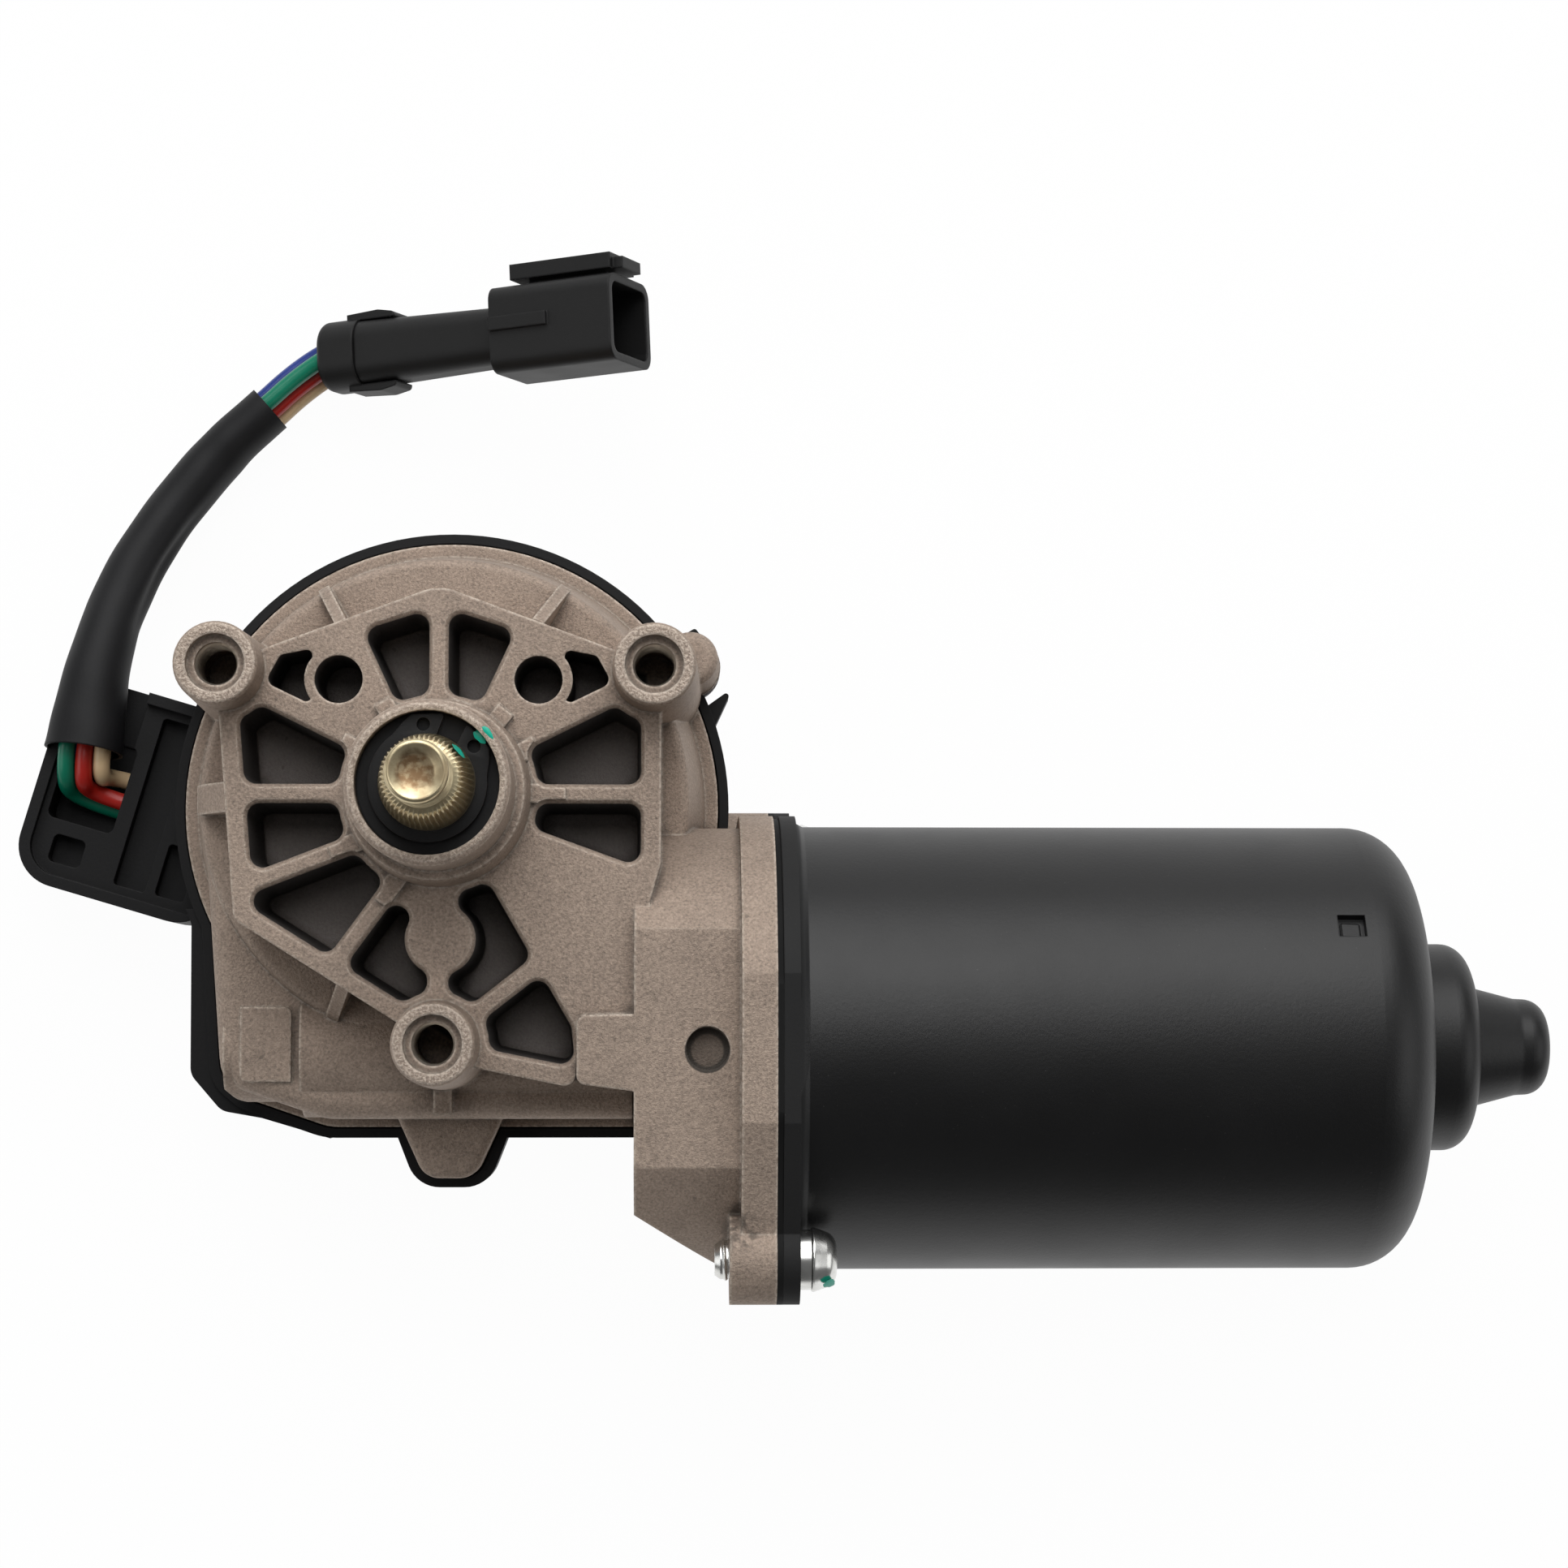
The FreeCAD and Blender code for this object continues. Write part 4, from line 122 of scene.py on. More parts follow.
class Value:
    """A number in a shader graph; arithmetic on it adds Math nodes."""

    def __init__(self, graph: "ShaderGraph", socket: bpy.types.NodeSocket) -> None:
        """Wraps one output of the graph."""
        self.graph = graph
        self.socket = socket

    def _math(self, operation: str, *others: Union["Value", Number],
              clamp: bool = False) -> "Value":
        """A Math node on this value and the others."""
        settings = {"operation": operation, "use_clamp": clamp}
        return self.graph.value("ShaderNodeMath", settings, dict(enumerate((self, *others))))

    def __add__(self, other: Union["Value", Number]) -> "Value":
        """This value plus another."""
        return self._math("ADD", other)

    def __radd__(self, other: Number) -> "Value":
        """A number plus this value."""
        return self + other

    def __sub__(self, other: Union["Value", Number]) -> "Value":
        """This value less another."""
        return self._math("SUBTRACT", other)

    def __rsub__(self, other: Number) -> "Value":
        """A number less this value."""
        return self.graph.value("ShaderNodeMath", {"operation": "SUBTRACT"}, {0: other, 1: self})

    def __mul__(self, other: Union["Value", Number]) -> "Value":
        """This value times another."""
        return self._math("MULTIPLY", other)

    def __rmul__(self, other: Number) -> "Value":
        """A number times this value."""
        return self * other

    def __truediv__(self, other: Union["Value", Number]) -> "Value":
        """This value divided by another."""
        return self._math("DIVIDE", other)

    def __pow__(self, other: Number) -> "Value":
        """This value to a power."""
        return self._math("POWER", other)

    def __abs__(self) -> "Value":
        """The value without its sign."""
        return self._math("ABSOLUTE")

    def least(self, other: Union["Value", Number]) -> "Value":
        """The smaller of two."""
        return self._math("MINIMUM", other)

    def most(self, other: Union["Value", Number]) -> "Value":
        """The larger of two."""
        return self._math("MAXIMUM", other)

    def fraction(self) -> "Value":
        """What is left over the last whole number."""
        return self._math("FRACT")

    def turn_from(self, other: "Value") -> "Value":
        """The angle whose tangent is this value over the other."""
        return self._math("ARCTAN2", other)

    def clamped(self) -> "Value":
        """The value held between 0 and 1."""
        return self._math("MULTIPLY", 1.0, clamp=True)

    def step(self, low: float, high: float) -> "Value":
        """A smooth step from 0 at low to 1 at high.

        Args:
            low: Where the step starts.
            high: Where it ends; it may lie below low.

        Returns:
            The stepped value.
        """
        inputs = {"Value": self, "From Min": low, "From Max": high}
        return self.graph.value("ShaderNodeMapRange", {"interpolation_type": "SMOOTHSTEP"}, inputs)


class ShaderGraph:
    """The node tree of one material, built from expressions."""

    def __init__(self, name: str) -> None:
        """Starts an empty material.

        Args:
            name: The material's name.
        """
        self.material = bpy.data.materials.new(name)
        self.material.use_nodes = True
        self.tree = self.material.node_tree
        self.tree.nodes.clear()
        self.end = self.tree.nodes.new("ShaderNodeOutputMaterial")

    def node(self, kind: str, settings: Optional[dict] = None,
             inputs: Optional[dict] = None) -> bpy.types.Node:
        """Adds any node.

        Args:
            kind: The node's type.
            settings: Its own settings, set before its sockets.
            inputs: Values, links, numbers or colours by socket name or number.

        Returns:
            The new node.
        """
        made = self.tree.nodes.new(kind)
        for key, value in (settings or {}).items():
            setattr(made, key, value)
        for key, value in (inputs or {}).items():
            socket = made.inputs[key]
            if isinstance(value, Value):
                value = value.socket
            if isinstance(value, bpy.types.NodeSocket):
                self.tree.links.new(value, socket)
            else:
                socket.default_value = (*value, 1.0) if socket.type == "RGBA" else value
        return made

    def value(self, kind: str, settings: Optional[dict] = None, inputs: Optional[dict] = None,
              socket: Union[int, str] = 0) -> Value:
        """Adds a node and wraps one of its outputs.

        Args:
            kind: The node's type.
            settings: Its own settings.
            inputs: Values or links by socket name or number.
            socket: Which output is wanted.

        Returns:
            The output as a value.
        """
        return Value(self, self.node(kind, settings, inputs).outputs[socket])

    def place(self) -> bpy.types.NodeSocket:
        """The point in the part's own frame, in metres."""
        return self.node("ShaderNodeTexCoord").outputs["Object"]

    def axes(self) -> tuple[Value, Value, Value]:
        """The point's three coordinates, in millimetres."""
        split = self.node("ShaderNodeSeparateXYZ", inputs={0: self.place()})
        x, y, z = (Value(self, output) * 1000.0 for output in split.outputs)
        return x, y, z

    def noise(self, size_mm: float, detail: float = 3.0, rough: float = 0.55,
              stretch: tuple[float, float, float] = (1.0, 1.0, 1.0)) -> Value:
        """Fractal noise on the part's frame.

        Args:
            size_mm: About how large its blotches are.
            detail: How many finer layers it has.
            rough: How strong the finer layers are.
            stretch: Scale along each axis.

        Returns:
            A value from 0 to 1.
        """
        mapping = self.node("ShaderNodeMapping", inputs={"Vector": self.place(), "Scale": stretch})
        inputs = {"Vector": mapping.outputs[0], "Scale": 1000.0 / size_mm, "Detail": detail,
                  "Roughness": rough}
        return self.value("ShaderNodeTexNoise", {"noise_dimensions": "3D"}, inputs, "Fac")

    def mixed(self, first: Paint, second: Paint, factor: Value) -> bpy.types.NodeSocket:
        """A colour between two.

        Args:
            first: The colour at factor 0.
            second: The colour at factor 1.
            factor: How much of the second.

        Returns:
            The mixed colour's socket.
        """
        settings = {"data_type": "RGBA", "clamp_factor": True}
        return self.node("ShaderNodeMix", settings, {0: factor, 6: first, 7: second}).outputs[2]

    def shaded(self, colour: Paint, factor: Value) -> bpy.types.NodeSocket:
        """A colour made darker or lighter by a factor round 1."""
        inputs = {0: colour, "Scale": factor}
        return self.node("ShaderNodeVectorMath", {"operation": "SCALE"}, inputs).outputs[0]

    def worn_edges(self, radius_mm: float) -> Value:
        """How close the point is to an edge, from 0 on flat stretches up to 1.

        Args:
            radius_mm: How far from the edge it reaches.

        Returns:
            The closeness.
        """
        rounded = self.node("ShaderNodeBevel", {"samples": 6}, {"Radius": radius_mm / 1000.0})
        straight = self.node("ShaderNodeNewGeometry")
        inputs = {0: rounded.outputs[0], 1: straight.outputs["True Normal"]}
        flat = self.value("ShaderNodeVectorMath", {"operation": "DOT_PRODUCT"}, inputs, "Value")
        return flat.step(0.995, 0.80)

    def crevices(self, reach_mm: float) -> Value:
        """How deep the point lies in a corner, from 0 in the open up to 1.

        Args:
            reach_mm: How near the walls round it have to be.

        Returns:
            The depth.
        """
        inputs = {"Distance": reach_mm / 1000.0}
        return 1.0 - self.value("ShaderNodeAmbientOcclusion", {"samples": 4}, inputs, "AO")

    def bump(self, height: Value, depth_mm: float, strength: float = 1.0,
             edge_mm: float = 0.0) -> bpy.types.NodeSocket:
        """A normal from a height.

        Args:
            height: The height, from 0 to 1.
            depth_mm: How deep 1 is.
            strength: The bump's strength.
            edge_mm: How far edges are rounded under the bump.

        Returns:
            The normal's socket.
        """
        inputs = {"Height": height, "Distance": depth_mm / 1000.0, "Strength": strength}
        if edge_mm:
            soft = self.node("ShaderNodeBevel", {"samples": 6}, {"Radius": edge_mm / 1000.0})
            inputs["Normal"] = soft.outputs[0]
        return self.node("ShaderNodeBump", {}, inputs).outputs[0]

    def finish(self, **sockets: Union[Number, Value, bpy.types.NodeSocket]) -> bpy.types.Material:
        """Closes the graph with a Principled shader.

        Args:
            **sockets: The shader's inputs, with underscores for spaces.

        Returns:
            The finished material.
        """
        inputs = {key.replace("_", " "): value for key, value in sockets.items()}
        return self.closed(self.node("ShaderNodeBsdfPrincipled", inputs=inputs))

    def closed(self, shader: bpy.types.Node) -> bpy.types.Material:
        """The material with this shader as its surface."""
        self.tree.links.new(shader.outputs[0], self.end.inputs["Surface"])
        return self.material


@dataclass(frozen=True)
class CastAluminium:
    """Blasted die casting: grainy warm webs, edges brightened partly as wear and partly as a
    painted highlight, pocket walls painted dark as shade.
    """

    web: Colour = (0.358, 0.282, 0.227)
    # Painted shade: the pocket walls get this near-black colour in place of the shade that falls on
    # them.
    wall: Colour = (0.050, 0.044, 0.041)
    floor: Colour = (0.33, 0.29, 0.27)
    # Pale colour for worn edges and machined faces, also a painted highlight where edges catch the
    # light.
    rubbed: Colour = (0.78, 0.68, 0.58)
    # Dark colour for the stain and pits, also used as painted shade in each corner and in the
    # dimple.
    dirt: Colour = (0.058, 0.049, 0.041)
    frame_half: float = 27.2
    frame_top: tuple[float, float] = (25.4, 0.322)
    frame_low: tuple[float, float] = (31.2, 0.62)
    frame_foot: tuple[float, float] = (33.8, 0.2)
    hub_r: float = 12.6
    web_height: float = -7.9
    floor_height: float = -22.0
    collar_top: float = 13.5
    stain_at: tuple[float, float] = (39.6, -56.6)
    dimple: tuple[float, float, float] = (35.1, -33.3, 3.05)
    edge_mm: float = 0.60

    def pockets(self, x: Value, y: Value, z: Value) -> Value:
        """Where the point lies inside the frame's pockets, from 0 to 1.

        Args:
            x: The point's place along X, in millimetres.
            y: Along Y.
            z: Along Z.

        Returns:
            1 inside the pockets and 0 outside.
        """
        top, lean = self.frame_top
        low, slope = self.frame_low
        foot, rise = self.frame_foot
        inside = (self.frame_half - abs(x)).least(top - abs(x) * lean - y)
        inside = inside.least(y + x * slope + low).least(y + x * rise + foot)
        around = (x * x + y * y) ** 0.5 - self.hub_r
        return inside.least(around).least(self.web_height - z).step(-0.2, 0.5)

    def worn(self, graph: ShaderGraph, z: Value, blast: Value,
             pocket: Value) -> tuple[Value, Value]:
        """Where the casting is cut by a tool, and where its edges are brightened, partly as wear
        and partly as a painted highlight.

        Args:
            graph: The material's graph.
            z: The point's height.
            blast: The blasted grain.
            pocket: Where the pockets are.

        Returns:
            Where it is cut, and how far its edges are brightened by wear and painted highlight.
        """
        cut = abs(z).step(0.25, 0.05).most(abs(z - self.collar_top).step(0.3, 0.1))
        # Edges are brightened partly as wear and partly as a painted highlight, much less inside
        # the pockets.
        rubbed = graph.worn_edges(0.75) * (0.20 + graph.noise(0.6, 3.0).step(0.36, 0.62) * 0.85)
        rubbed = (rubbed * (1.0 - pocket * 0.85)).most(cut * blast.step(0.45, 0.62) * 0.45)
        return cut, rubbed.clamped()

    def soiled(self, graph: ShaderGraph, x: Value, y: Value, z: Value) -> Value:
        """How much darker the point is made: painted shade in each corner and crease and in the
        dimple, with real pits and the stain on the ear.

        Args:
            graph: The material's graph.
            x: How far along the can the point lies.
            y: How far up the picture.
            z: How high.

        Returns:
            The darkening, from 0 to 1.
        """
        away = ((x - self.stain_at[0]) ** 2.0 + (y - self.stain_at[1]) ** 2.0) ** 0.5
        stain = away.step(3.4, 1.0) * graph.noise(1.1, 3.0).step(0.38, 0.60) * 0.7
        # Painted shade: ambient occlusion darkens each corner and crease.
        painted_corner_shade = graph.crevices(2.0).step(0.20, 0.62) * 0.72
        # Painted shade: the shallow dimple gets a dark ring round a lighter middle, as if it were a
        # deep hole.
        across, along, reach = self.dimple
        middle = ((x - across) ** 2.0 + (y - along) ** 2.0) ** 0.5
        painted_dimple_shade = middle.step(reach, reach - 0.2) * (0.55 + middle.step(1.9, 2.3) * 0.43)
        painted_corner_shade = painted_corner_shade.most(painted_dimple_shade * z.step(-24.0, -20.0))
        pits = graph.noise(1.3, 1.0).step(0.74, 0.79)
        return stain.most(painted_corner_shade).most(pits * 0.35).clamped()

    def build(self, name: str) -> bpy.types.Material:
        """The material for the housing.

        Args:
            name: The material's name.

        Returns:
            The new material.
        """
        graph = ShaderGraph(name)
        x, y, z = graph.axes()
        blast = graph.noise(0.38, 2.5, 0.80)
        mottle = graph.noise(5.0, 4.0, 0.62)
        pocket = self.pockets(x, y, z)
        on_floor = z.step(self.floor_height + 1.0, self.floor_height + 0.1)
        # Inside the pockets the walls take the painted shade colour and the floors their own tone.
        colour = graph.mixed(self.web, graph.mixed(self.wall, self.floor, on_floor), pocket)
        grain = (blast - 0.5) * (1.75 - pocket * 1.1)
        colour = graph.shaded(colour, 0.80 + grain + mottle * 0.40)
        cut, rubbed = self.worn(graph, z, blast, pocket)
        # Edges brightened by wear and painted highlight; machined faces a little lighter.
        colour = graph.mixed(colour, self.rubbed, rubbed)
        # The stain and pits darken the colour, with painted shade in each corner and in the dimple.
        colour = graph.mixed(colour, self.dirt, self.soiled(graph, x, y, z))
        rough = 0.66 - cut * 0.14 + (blast - 0.5) * 0.12
        skin = graph.bump(blast * 0.85 + mottle * 0.15, 0.17, 1.0, self.edge_mm)
        return graph.finish(Base_Color=colour, Metallic=0.45 - pocket * 0.30, Roughness=rough,
                            Normal=skin)


@dataclass(frozen=True)
class SatinPaint:
    """Satin paint on drawn steel, with a fine orange peel."""

    colour: Colour = (0.0018, 0.0018, 0.0021)
    rough: float = 0.44
    sheen: float = 0.47
    flange_end: float = 0.0
    wear: float = 0.0
    dust: Colour = (0.09, 0.085, 0.08)
    bare: Colour = (0.16, 0.15, 0.14)

    def build(self, name: str) -> bpy.types.Material:
        """The paint, duller on a flange and thinner on edges where it has them.

        Args:
            name: The material's name.

        Returns:
            The new material.
        """
        graph = ShaderGraph(name)
        peel = graph.noise(0.55, 3.0, 0.7)
        cloud = graph.noise(14.0, 3.0, 0.6)
        specks = graph.noise(0.35, 1.0).step(0.77, 0.80)
        colour = graph.shaded(self.colour, 0.8 + cloud * 0.4)
        colour = graph.mixed(colour, self.dust, specks * 0.25)
        if self.wear:
            colour = graph.mixed(colour, self.bare, graph.worn_edges(0.14) * cloud * self.wear)
        rough = self.rough + (cloud - 0.5) * 0.12
        if self.flange_end:
            along = graph.axes()[0]
            rough = rough + along.step(self.flange_end + 0.5, self.flange_end) * 0.3
        return graph.finish(Base_Color=colour, Roughness=rough, Specular_IOR_Level=self.sheen,
                            Normal=graph.bump(peel, 0.05, 0.5, 0.25))


@dataclass(frozen=True)
class Moulding:
    """Moulded plastic or rubber with a fine spark texture."""

    colour: Colour
    rough: float = 0.55
    grain_mm: float = 0.45
    depth_mm: float = 0.03
    shine: float = 0.35
    edge_mm: float = 0.2

    def build(self, name: str) -> bpy.types.Material:
        """The moulding's material.

        Args:
            name: The material's name.

        Returns:
            The new material.
        """
        graph = ShaderGraph(name)
        grain = graph.noise(self.grain_mm, 2.0, 0.6)
        flow = graph.noise(9.0, 3.0, 0.55)
        colour = graph.shaded(self.colour, 0.78 + flow * 0.3 + grain * 0.14)
        edge = graph.worn_edges(0.22) * graph.noise(1.5).step(0.42, 0.62)
        lighter = tuple(c * 1.8 + 0.02 for c in self.colour)
        colour = graph.mixed(colour, lighter, edge * 0.4)
        rough = self.rough + (flow - 0.5) * 0.16
        return graph.finish(Base_Color=colour, Roughness=rough, Specular_IOR_Level=self.shine,
                            Normal=graph.bump(grain, self.depth_mm, 0.4, self.edge_mm))


@dataclass(frozen=True)
class Plated:
    """Plated or bare metal with turning marks and a little tarnish."""

    colour: Colour
    tarnish: Colour
    rough: float = 0.28
    mark_mm: float = 0.5
    amount: float = 0.45
    dish: float = 0.0
    dish_floor: float = 31.0

    def build(self, name: str) -> bpy.types.Material:
        """The metal, browner in the dish of a stud's end if it has one.

        Args:
            name: The material's name.

        Returns:
            The new material.
        """
        graph = ShaderGraph(name)
        cloud = graph.noise(2.6, 4.0, 0.62)
        scratch = graph.noise(self.mark_mm, 2.0, 0.6, (0.25, 0.25, 1.0))
        edge = graph.worn_edges(0.2)
        factor = (cloud.step(0.36, 0.70) * self.amount) * (1.0 - edge * 0.6)
        if self.dish:
            x, y, z = graph.axes()
            away = (x * x + y * y) ** 0.5 + (cloud - 0.5) * 2.2
            brown = away.step(self.dish, self.dish - 1.2)
            brown = brown * z.step(self.dish_floor, self.dish_floor + 0.4)
            factor = factor.most(brown * (0.60 + graph.noise(0.8, 3.0).step(0.34, 0.62) * 0.4))
        colour = graph.mixed(self.colour, self.tarnish, factor)
        rough = self.rough + (cloud - 0.5) * 0.22 + (scratch - 0.5) * 0.12
        return graph.finish(Base_Color=colour, Metallic=1.0, Roughness=rough,
                            Normal=graph.bump(scratch, 0.015, 0.4, 0.12))


@dataclass(frozen=True)
class Insulation:
    """Extruded wire insulation, with a soft gloss and faint dust."""

    colour: Colour
    rough: float = 0.33
    dust: float = 0.10
    dust_colour: Colour = (0.16, 0.15, 0.14)

    def build(self, name: str) -> bpy.types.Material:
        """The insulation.

        Args:
            name: The material's name.

        Returns:
            The new material.
        """
        graph = ShaderGraph(name)
        flow = graph.noise(3.2, 3.0, 0.55)
        fine = graph.noise(0.4, 2.0, 0.6)
        colour = graph.shaded(self.colour, 0.80 + flow * 0.36)
        colour = graph.mixed(colour, self.dust_colour, fine.step(0.66, 0.74) * self.dust)
        rough = self.rough + (flow - 0.5) * 0.2
        return graph.finish(Base_Color=colour, Roughness=rough, Specular_IOR_Level=0.45,
                            Normal=graph.bump(flow * 0.7 + fine * 0.3, 0.05, 0.3))


@dataclass(frozen=True)
class Laminated:
    """Stacked sheets seen on their edges, along the motor's axis."""

    colour: Colour = (0.30, 0.30, 0.31)
    gap: Colour = (0.04, 0.04, 0.045)
    rust: Colour = (0.16, 0.09, 0.05)
    pitch_mm: float = 0.6

    def build(self, name: str) -> bpy.types.Material:
        """The core's material.

        Args:
            name: The material's name.

        Returns:
            The new material.
        """
        graph = ShaderGraph(name)
        x, _, _ = graph.axes()
        line = abs((x / self.pitch_mm).fraction() - 0.5).step(0.38, 0.48)
        rusty = graph.noise(3.0, 4.0).step(0.52, 0.72) * 0.4
        colour = graph.mixed(graph.mixed(self.colour, self.gap, line), self.rust, rusty)
        return graph.finish(Base_Color=colour, Metallic=0.8, Roughness=0.45,
                            Normal=graph.bump(1.0 - line, 0.04, 0.6))


@dataclass(frozen=True)
class Wound:
    """Enamelled copper wire laid round the core."""

    colour: Colour = (0.62, 0.20, 0.07)
    shade: Colour = (0.20, 0.05, 0.02)
    pitch_mm: float = 0.9
    axis: tuple[float, float] = (-33.0, -31.0)

    def build(self, name: str) -> bpy.types.Material:
        """The windings' material.

        Args:
            name: The material's name.

        Returns:
            The new material.
        """
        graph = ShaderGraph(name)
        x, y, z = graph.axes()
        across, below = self.axis
        angle = (y - across).turn_from(z - below)
        radius = ((y - across) ** 2.0 + (z - below) ** 2.0) ** 0.5
        ring = ((radius + x * 0.6 + angle * 0.4) / self.pitch_mm).fraction()
        hump = 1.0 - ((ring - 0.5) * 2.0) ** 2.0
        return graph.finish(Base_Color=graph.mixed(self.shade, self.colour, hump), Metallic=0.75,
                            Roughness=0.32, Normal=graph.bump(hump, 0.25, 0.8))


class Finishes:
    """Every finish of the motor, each made once."""

    def __init__(self) -> None:
        """Builds the materials."""
        makers = {
            Finish.CAST: CastAluminium(),
            Finish.BORE: Plated((0.66, 0.61, 0.54), (0.22, 0.19, 0.16), 0.40, 0.4, 0.5),
            Finish.PAINT: SatinPaint(flange_end=47.3),
            Finish.CLIP: SatinPaint((0.0085, 0.0085, 0.0092), 0.60, 0.26, wear=1.2),
            Finish.PLASTIC: Moulding((0.0048, 0.0048, 0.0054), 0.58, 0.5, 0.05, 0.26),
            Finish.PLUG: Moulding((0.0050, 0.0050, 0.0052), 0.52, 0.35, 0.04, 0.32, 0.45),
            Finish.RUBBER: Moulding((0.0050, 0.0050, 0.0050), 0.74, 0.6, 0.05, 0.22),
            Finish.SLEEVE: Moulding((0.0046, 0.0046, 0.0056), 0.56, 0.4, 0.04, 0.27),
            Finish.BROWN: Moulding((0.085, 0.042, 0.022), 0.5),
            Finish.NYLON: Moulding((0.74, 0.71, 0.60), 0.42, 0.6, 0.02, 0.5),
            Finish.CARBON: Moulding((0.035, 0.034, 0.034), 0.6, 0.25, 0.03, 0.4),
            Finish.FERRITE: Moulding((0.045, 0.044, 0.046), 0.65, 0.7, 0.06, 0.4),
            Finish.SHAFT: Plated((0.62, 0.53, 0.34), (0.24, 0.15, 0.08), 0.36, 0.5, 0.50, 3.1),
            Finish.SCREW: Plated((0.78, 0.78, 0.76), (0.40, 0.39, 0.36), 0.25, 0.5, 0.30),
            Finish.STEEL: Plated((0.56, 0.56, 0.57), (0.28, 0.27, 0.26), 0.30),
            Finish.COPPER: Plated((0.85, 0.42, 0.25), (0.35, 0.14, 0.07), 0.28),
            Finish.BRASS: Plated((0.83, 0.66, 0.32), (0.38, 0.27, 0.10), 0.30),
            Finish.BRONZE: Plated((0.50, 0.34, 0.18), (0.20, 0.12, 0.06), 0.5),
            Finish.GREEN: Insulation((0.002, 0.185, 0.105)),
            Finish.RED: Insulation((0.40, 0.014, 0.009)),
            Finish.WHITE: Insulation((0.66, 0.48, 0.28)),
            Finish.BLUE: Insulation((0.012, 0.035, 0.22)),
            Finish.BLACK: Insulation((0.012, 0.012, 0.012)),
            Finish.MARK: Insulation((0.0, 0.44, 0.31), 0.30, 0.02),
            Finish.LAMINATION: Laminated(),
            Finish.WINDING: Wound(),
        }
        self.made = {finish: maker.build(finish.value) for finish, maker in makers.items()}

    def dress(self, obj: bpy.types.Object, finish: Finish) -> None:
        """Gives an object one finish.

        Args:
            obj: The object.
            finish: Its finish.
        """
        slots = obj.data.materials
        if not slots:
            slots.append(self.made[finish])
        for index in range(len(slots)):
            slots[index] = self.made[finish]


@dataclass
class SubAssembly:
    """Base of the motor's sub-assemblies: CAD nodes by finish, and new pieces."""

    frame: dict
    finishes: Finishes

    def dress_nodes(self, nodes: dict[Finish, tuple[str, ...]]) -> None:
        """Gives CAD nodes their finishes.

        Args:
            nodes: Node names by finish.
        """
        for finish, names in nodes.items():
            for name in names:
                self.finishes.dress(self.frame["nodes"][name], finish)

    def piece(self, name: str, mesh: bmesh.types.BMesh, finish: Finish, body: Body,
              smooth: float = 35.0) -> bpy.types.Object:
        """Turns a bmesh into a piece that rides on a body.

        Args:
            name: The piece's name.
            mesh: Its shape, in place, in metres; it is freed.
            finish: Its finish.
            body: The body it moves with.
            smooth: The angle below which edges are shaded smooth.

        Returns:
            The new object.
        """
        data = bpy.data.meshes.new(name)
        bmesh.ops.recalc_face_normals(mesh, faces=mesh.faces)
        mesh.to_mesh(data)
        mesh.free()
        data.shade_smooth()
        data.set_sharp_from_angle(angle=math.radians(smooth))
        obj = bpy.data.objects.new(name, data)
        bpy.context.scene.collection.objects.link(obj)
        self.finishes.dress(obj, finish)
        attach(obj, body.value)
        finish.slot()
        return obj


def turned(profile: Iterable[tuple[float, float]], steps: int) -> bmesh.types.BMesh:
    """A closed shape turned about Z.

    Args:
        profile: (radius, height) points in millimetres, from axis to axis.
        steps: How many steps make a turn.

    Returns:
        The shape, in metres.
    """
    mesh = bmesh.new()
    points = [mesh.verts.new((r / 1000.0, 0.0, z / 1000.0)) for r, z in profile]
    edges = [mesh.edges.new(pair) for pair in zip(points, points[1:])]
    bmesh.ops.spin(mesh, geom=points + edges, cent=(0, 0, 0), axis=(0, 0, 1),
                   angle=2 * math.pi, steps=steps, use_merge=True)
    bmesh.ops.remove_doubles(mesh, verts=mesh.verts, dist=1e-7)
    return mesh


def helix(flank: Iterable[tuple[float, float]], pitch: float, low: float, turns: float,
          steps: int = 48) -> bmesh.types.BMesh:
    """A thread's skin about Z.

    Args:
        flank: (radius, height) points of one ridge, in millimetres.
        pitch: The rise of one turn.
        low: Where the first ridge starts.
        turns: How many turns it makes.
        steps: How many steps make a turn.

    Returns:
        The skin, in metres.
    """
    mesh = bmesh.new()
    points = [mesh.verts.new((r / 1000.0, 0.0, (low + h) / 1000.0)) for r, h in flank]
    edges = [mesh.edges.new(pair) for pair in zip(points, points[1:])]
    count = int(round(turns * steps))
    rise = pitch / steps / 1000.0
    bmesh.ops.spin(mesh, geom=points + edges, cent=(0, 0, 0), axis=(0, 0, 1),
                   dvec=(0, 0, rise), angle=2 * math.pi * count / steps, steps=count)
    bmesh.ops.remove_doubles(mesh, verts=mesh.verts, dist=2e-6)
    return mesh


def placed(mesh: bmesh.types.BMesh, place: Place,
           turn: Optional[Matrix] = None) -> bmesh.types.BMesh:
    """Turns a shape about the origin and moves it to its place.

    Args:
        mesh: The shape, in metres.
        place: Its place, in millimetres.
        turn: How it is turned first.

    Returns:
        The same shape.
    """
    matrix = Matrix.Translation(Vector(place) / 1000.0)
    bmesh.ops.transform(mesh, matrix=matrix @ turn if turn else matrix, verts=mesh.verts)
    return mesh


def arc(radius: float, start: float, end: float, count: int) -> list[tuple[float, float]]:
    """Points on a circle about the origin.

    Args:
        radius: Its radius, in millimetres.
        start: The first point's angle, in degrees.
        end: The last point's angle, which may lie beyond a full turn.
        count: How many points.

    Returns:
        The points, in millimetres.
    """
    turns = [math.radians(start + (end - start) * i / (count - 1)) for i in range(count)]
    return [(radius * math.cos(turn), radius * math.sin(turn)) for turn in turns]


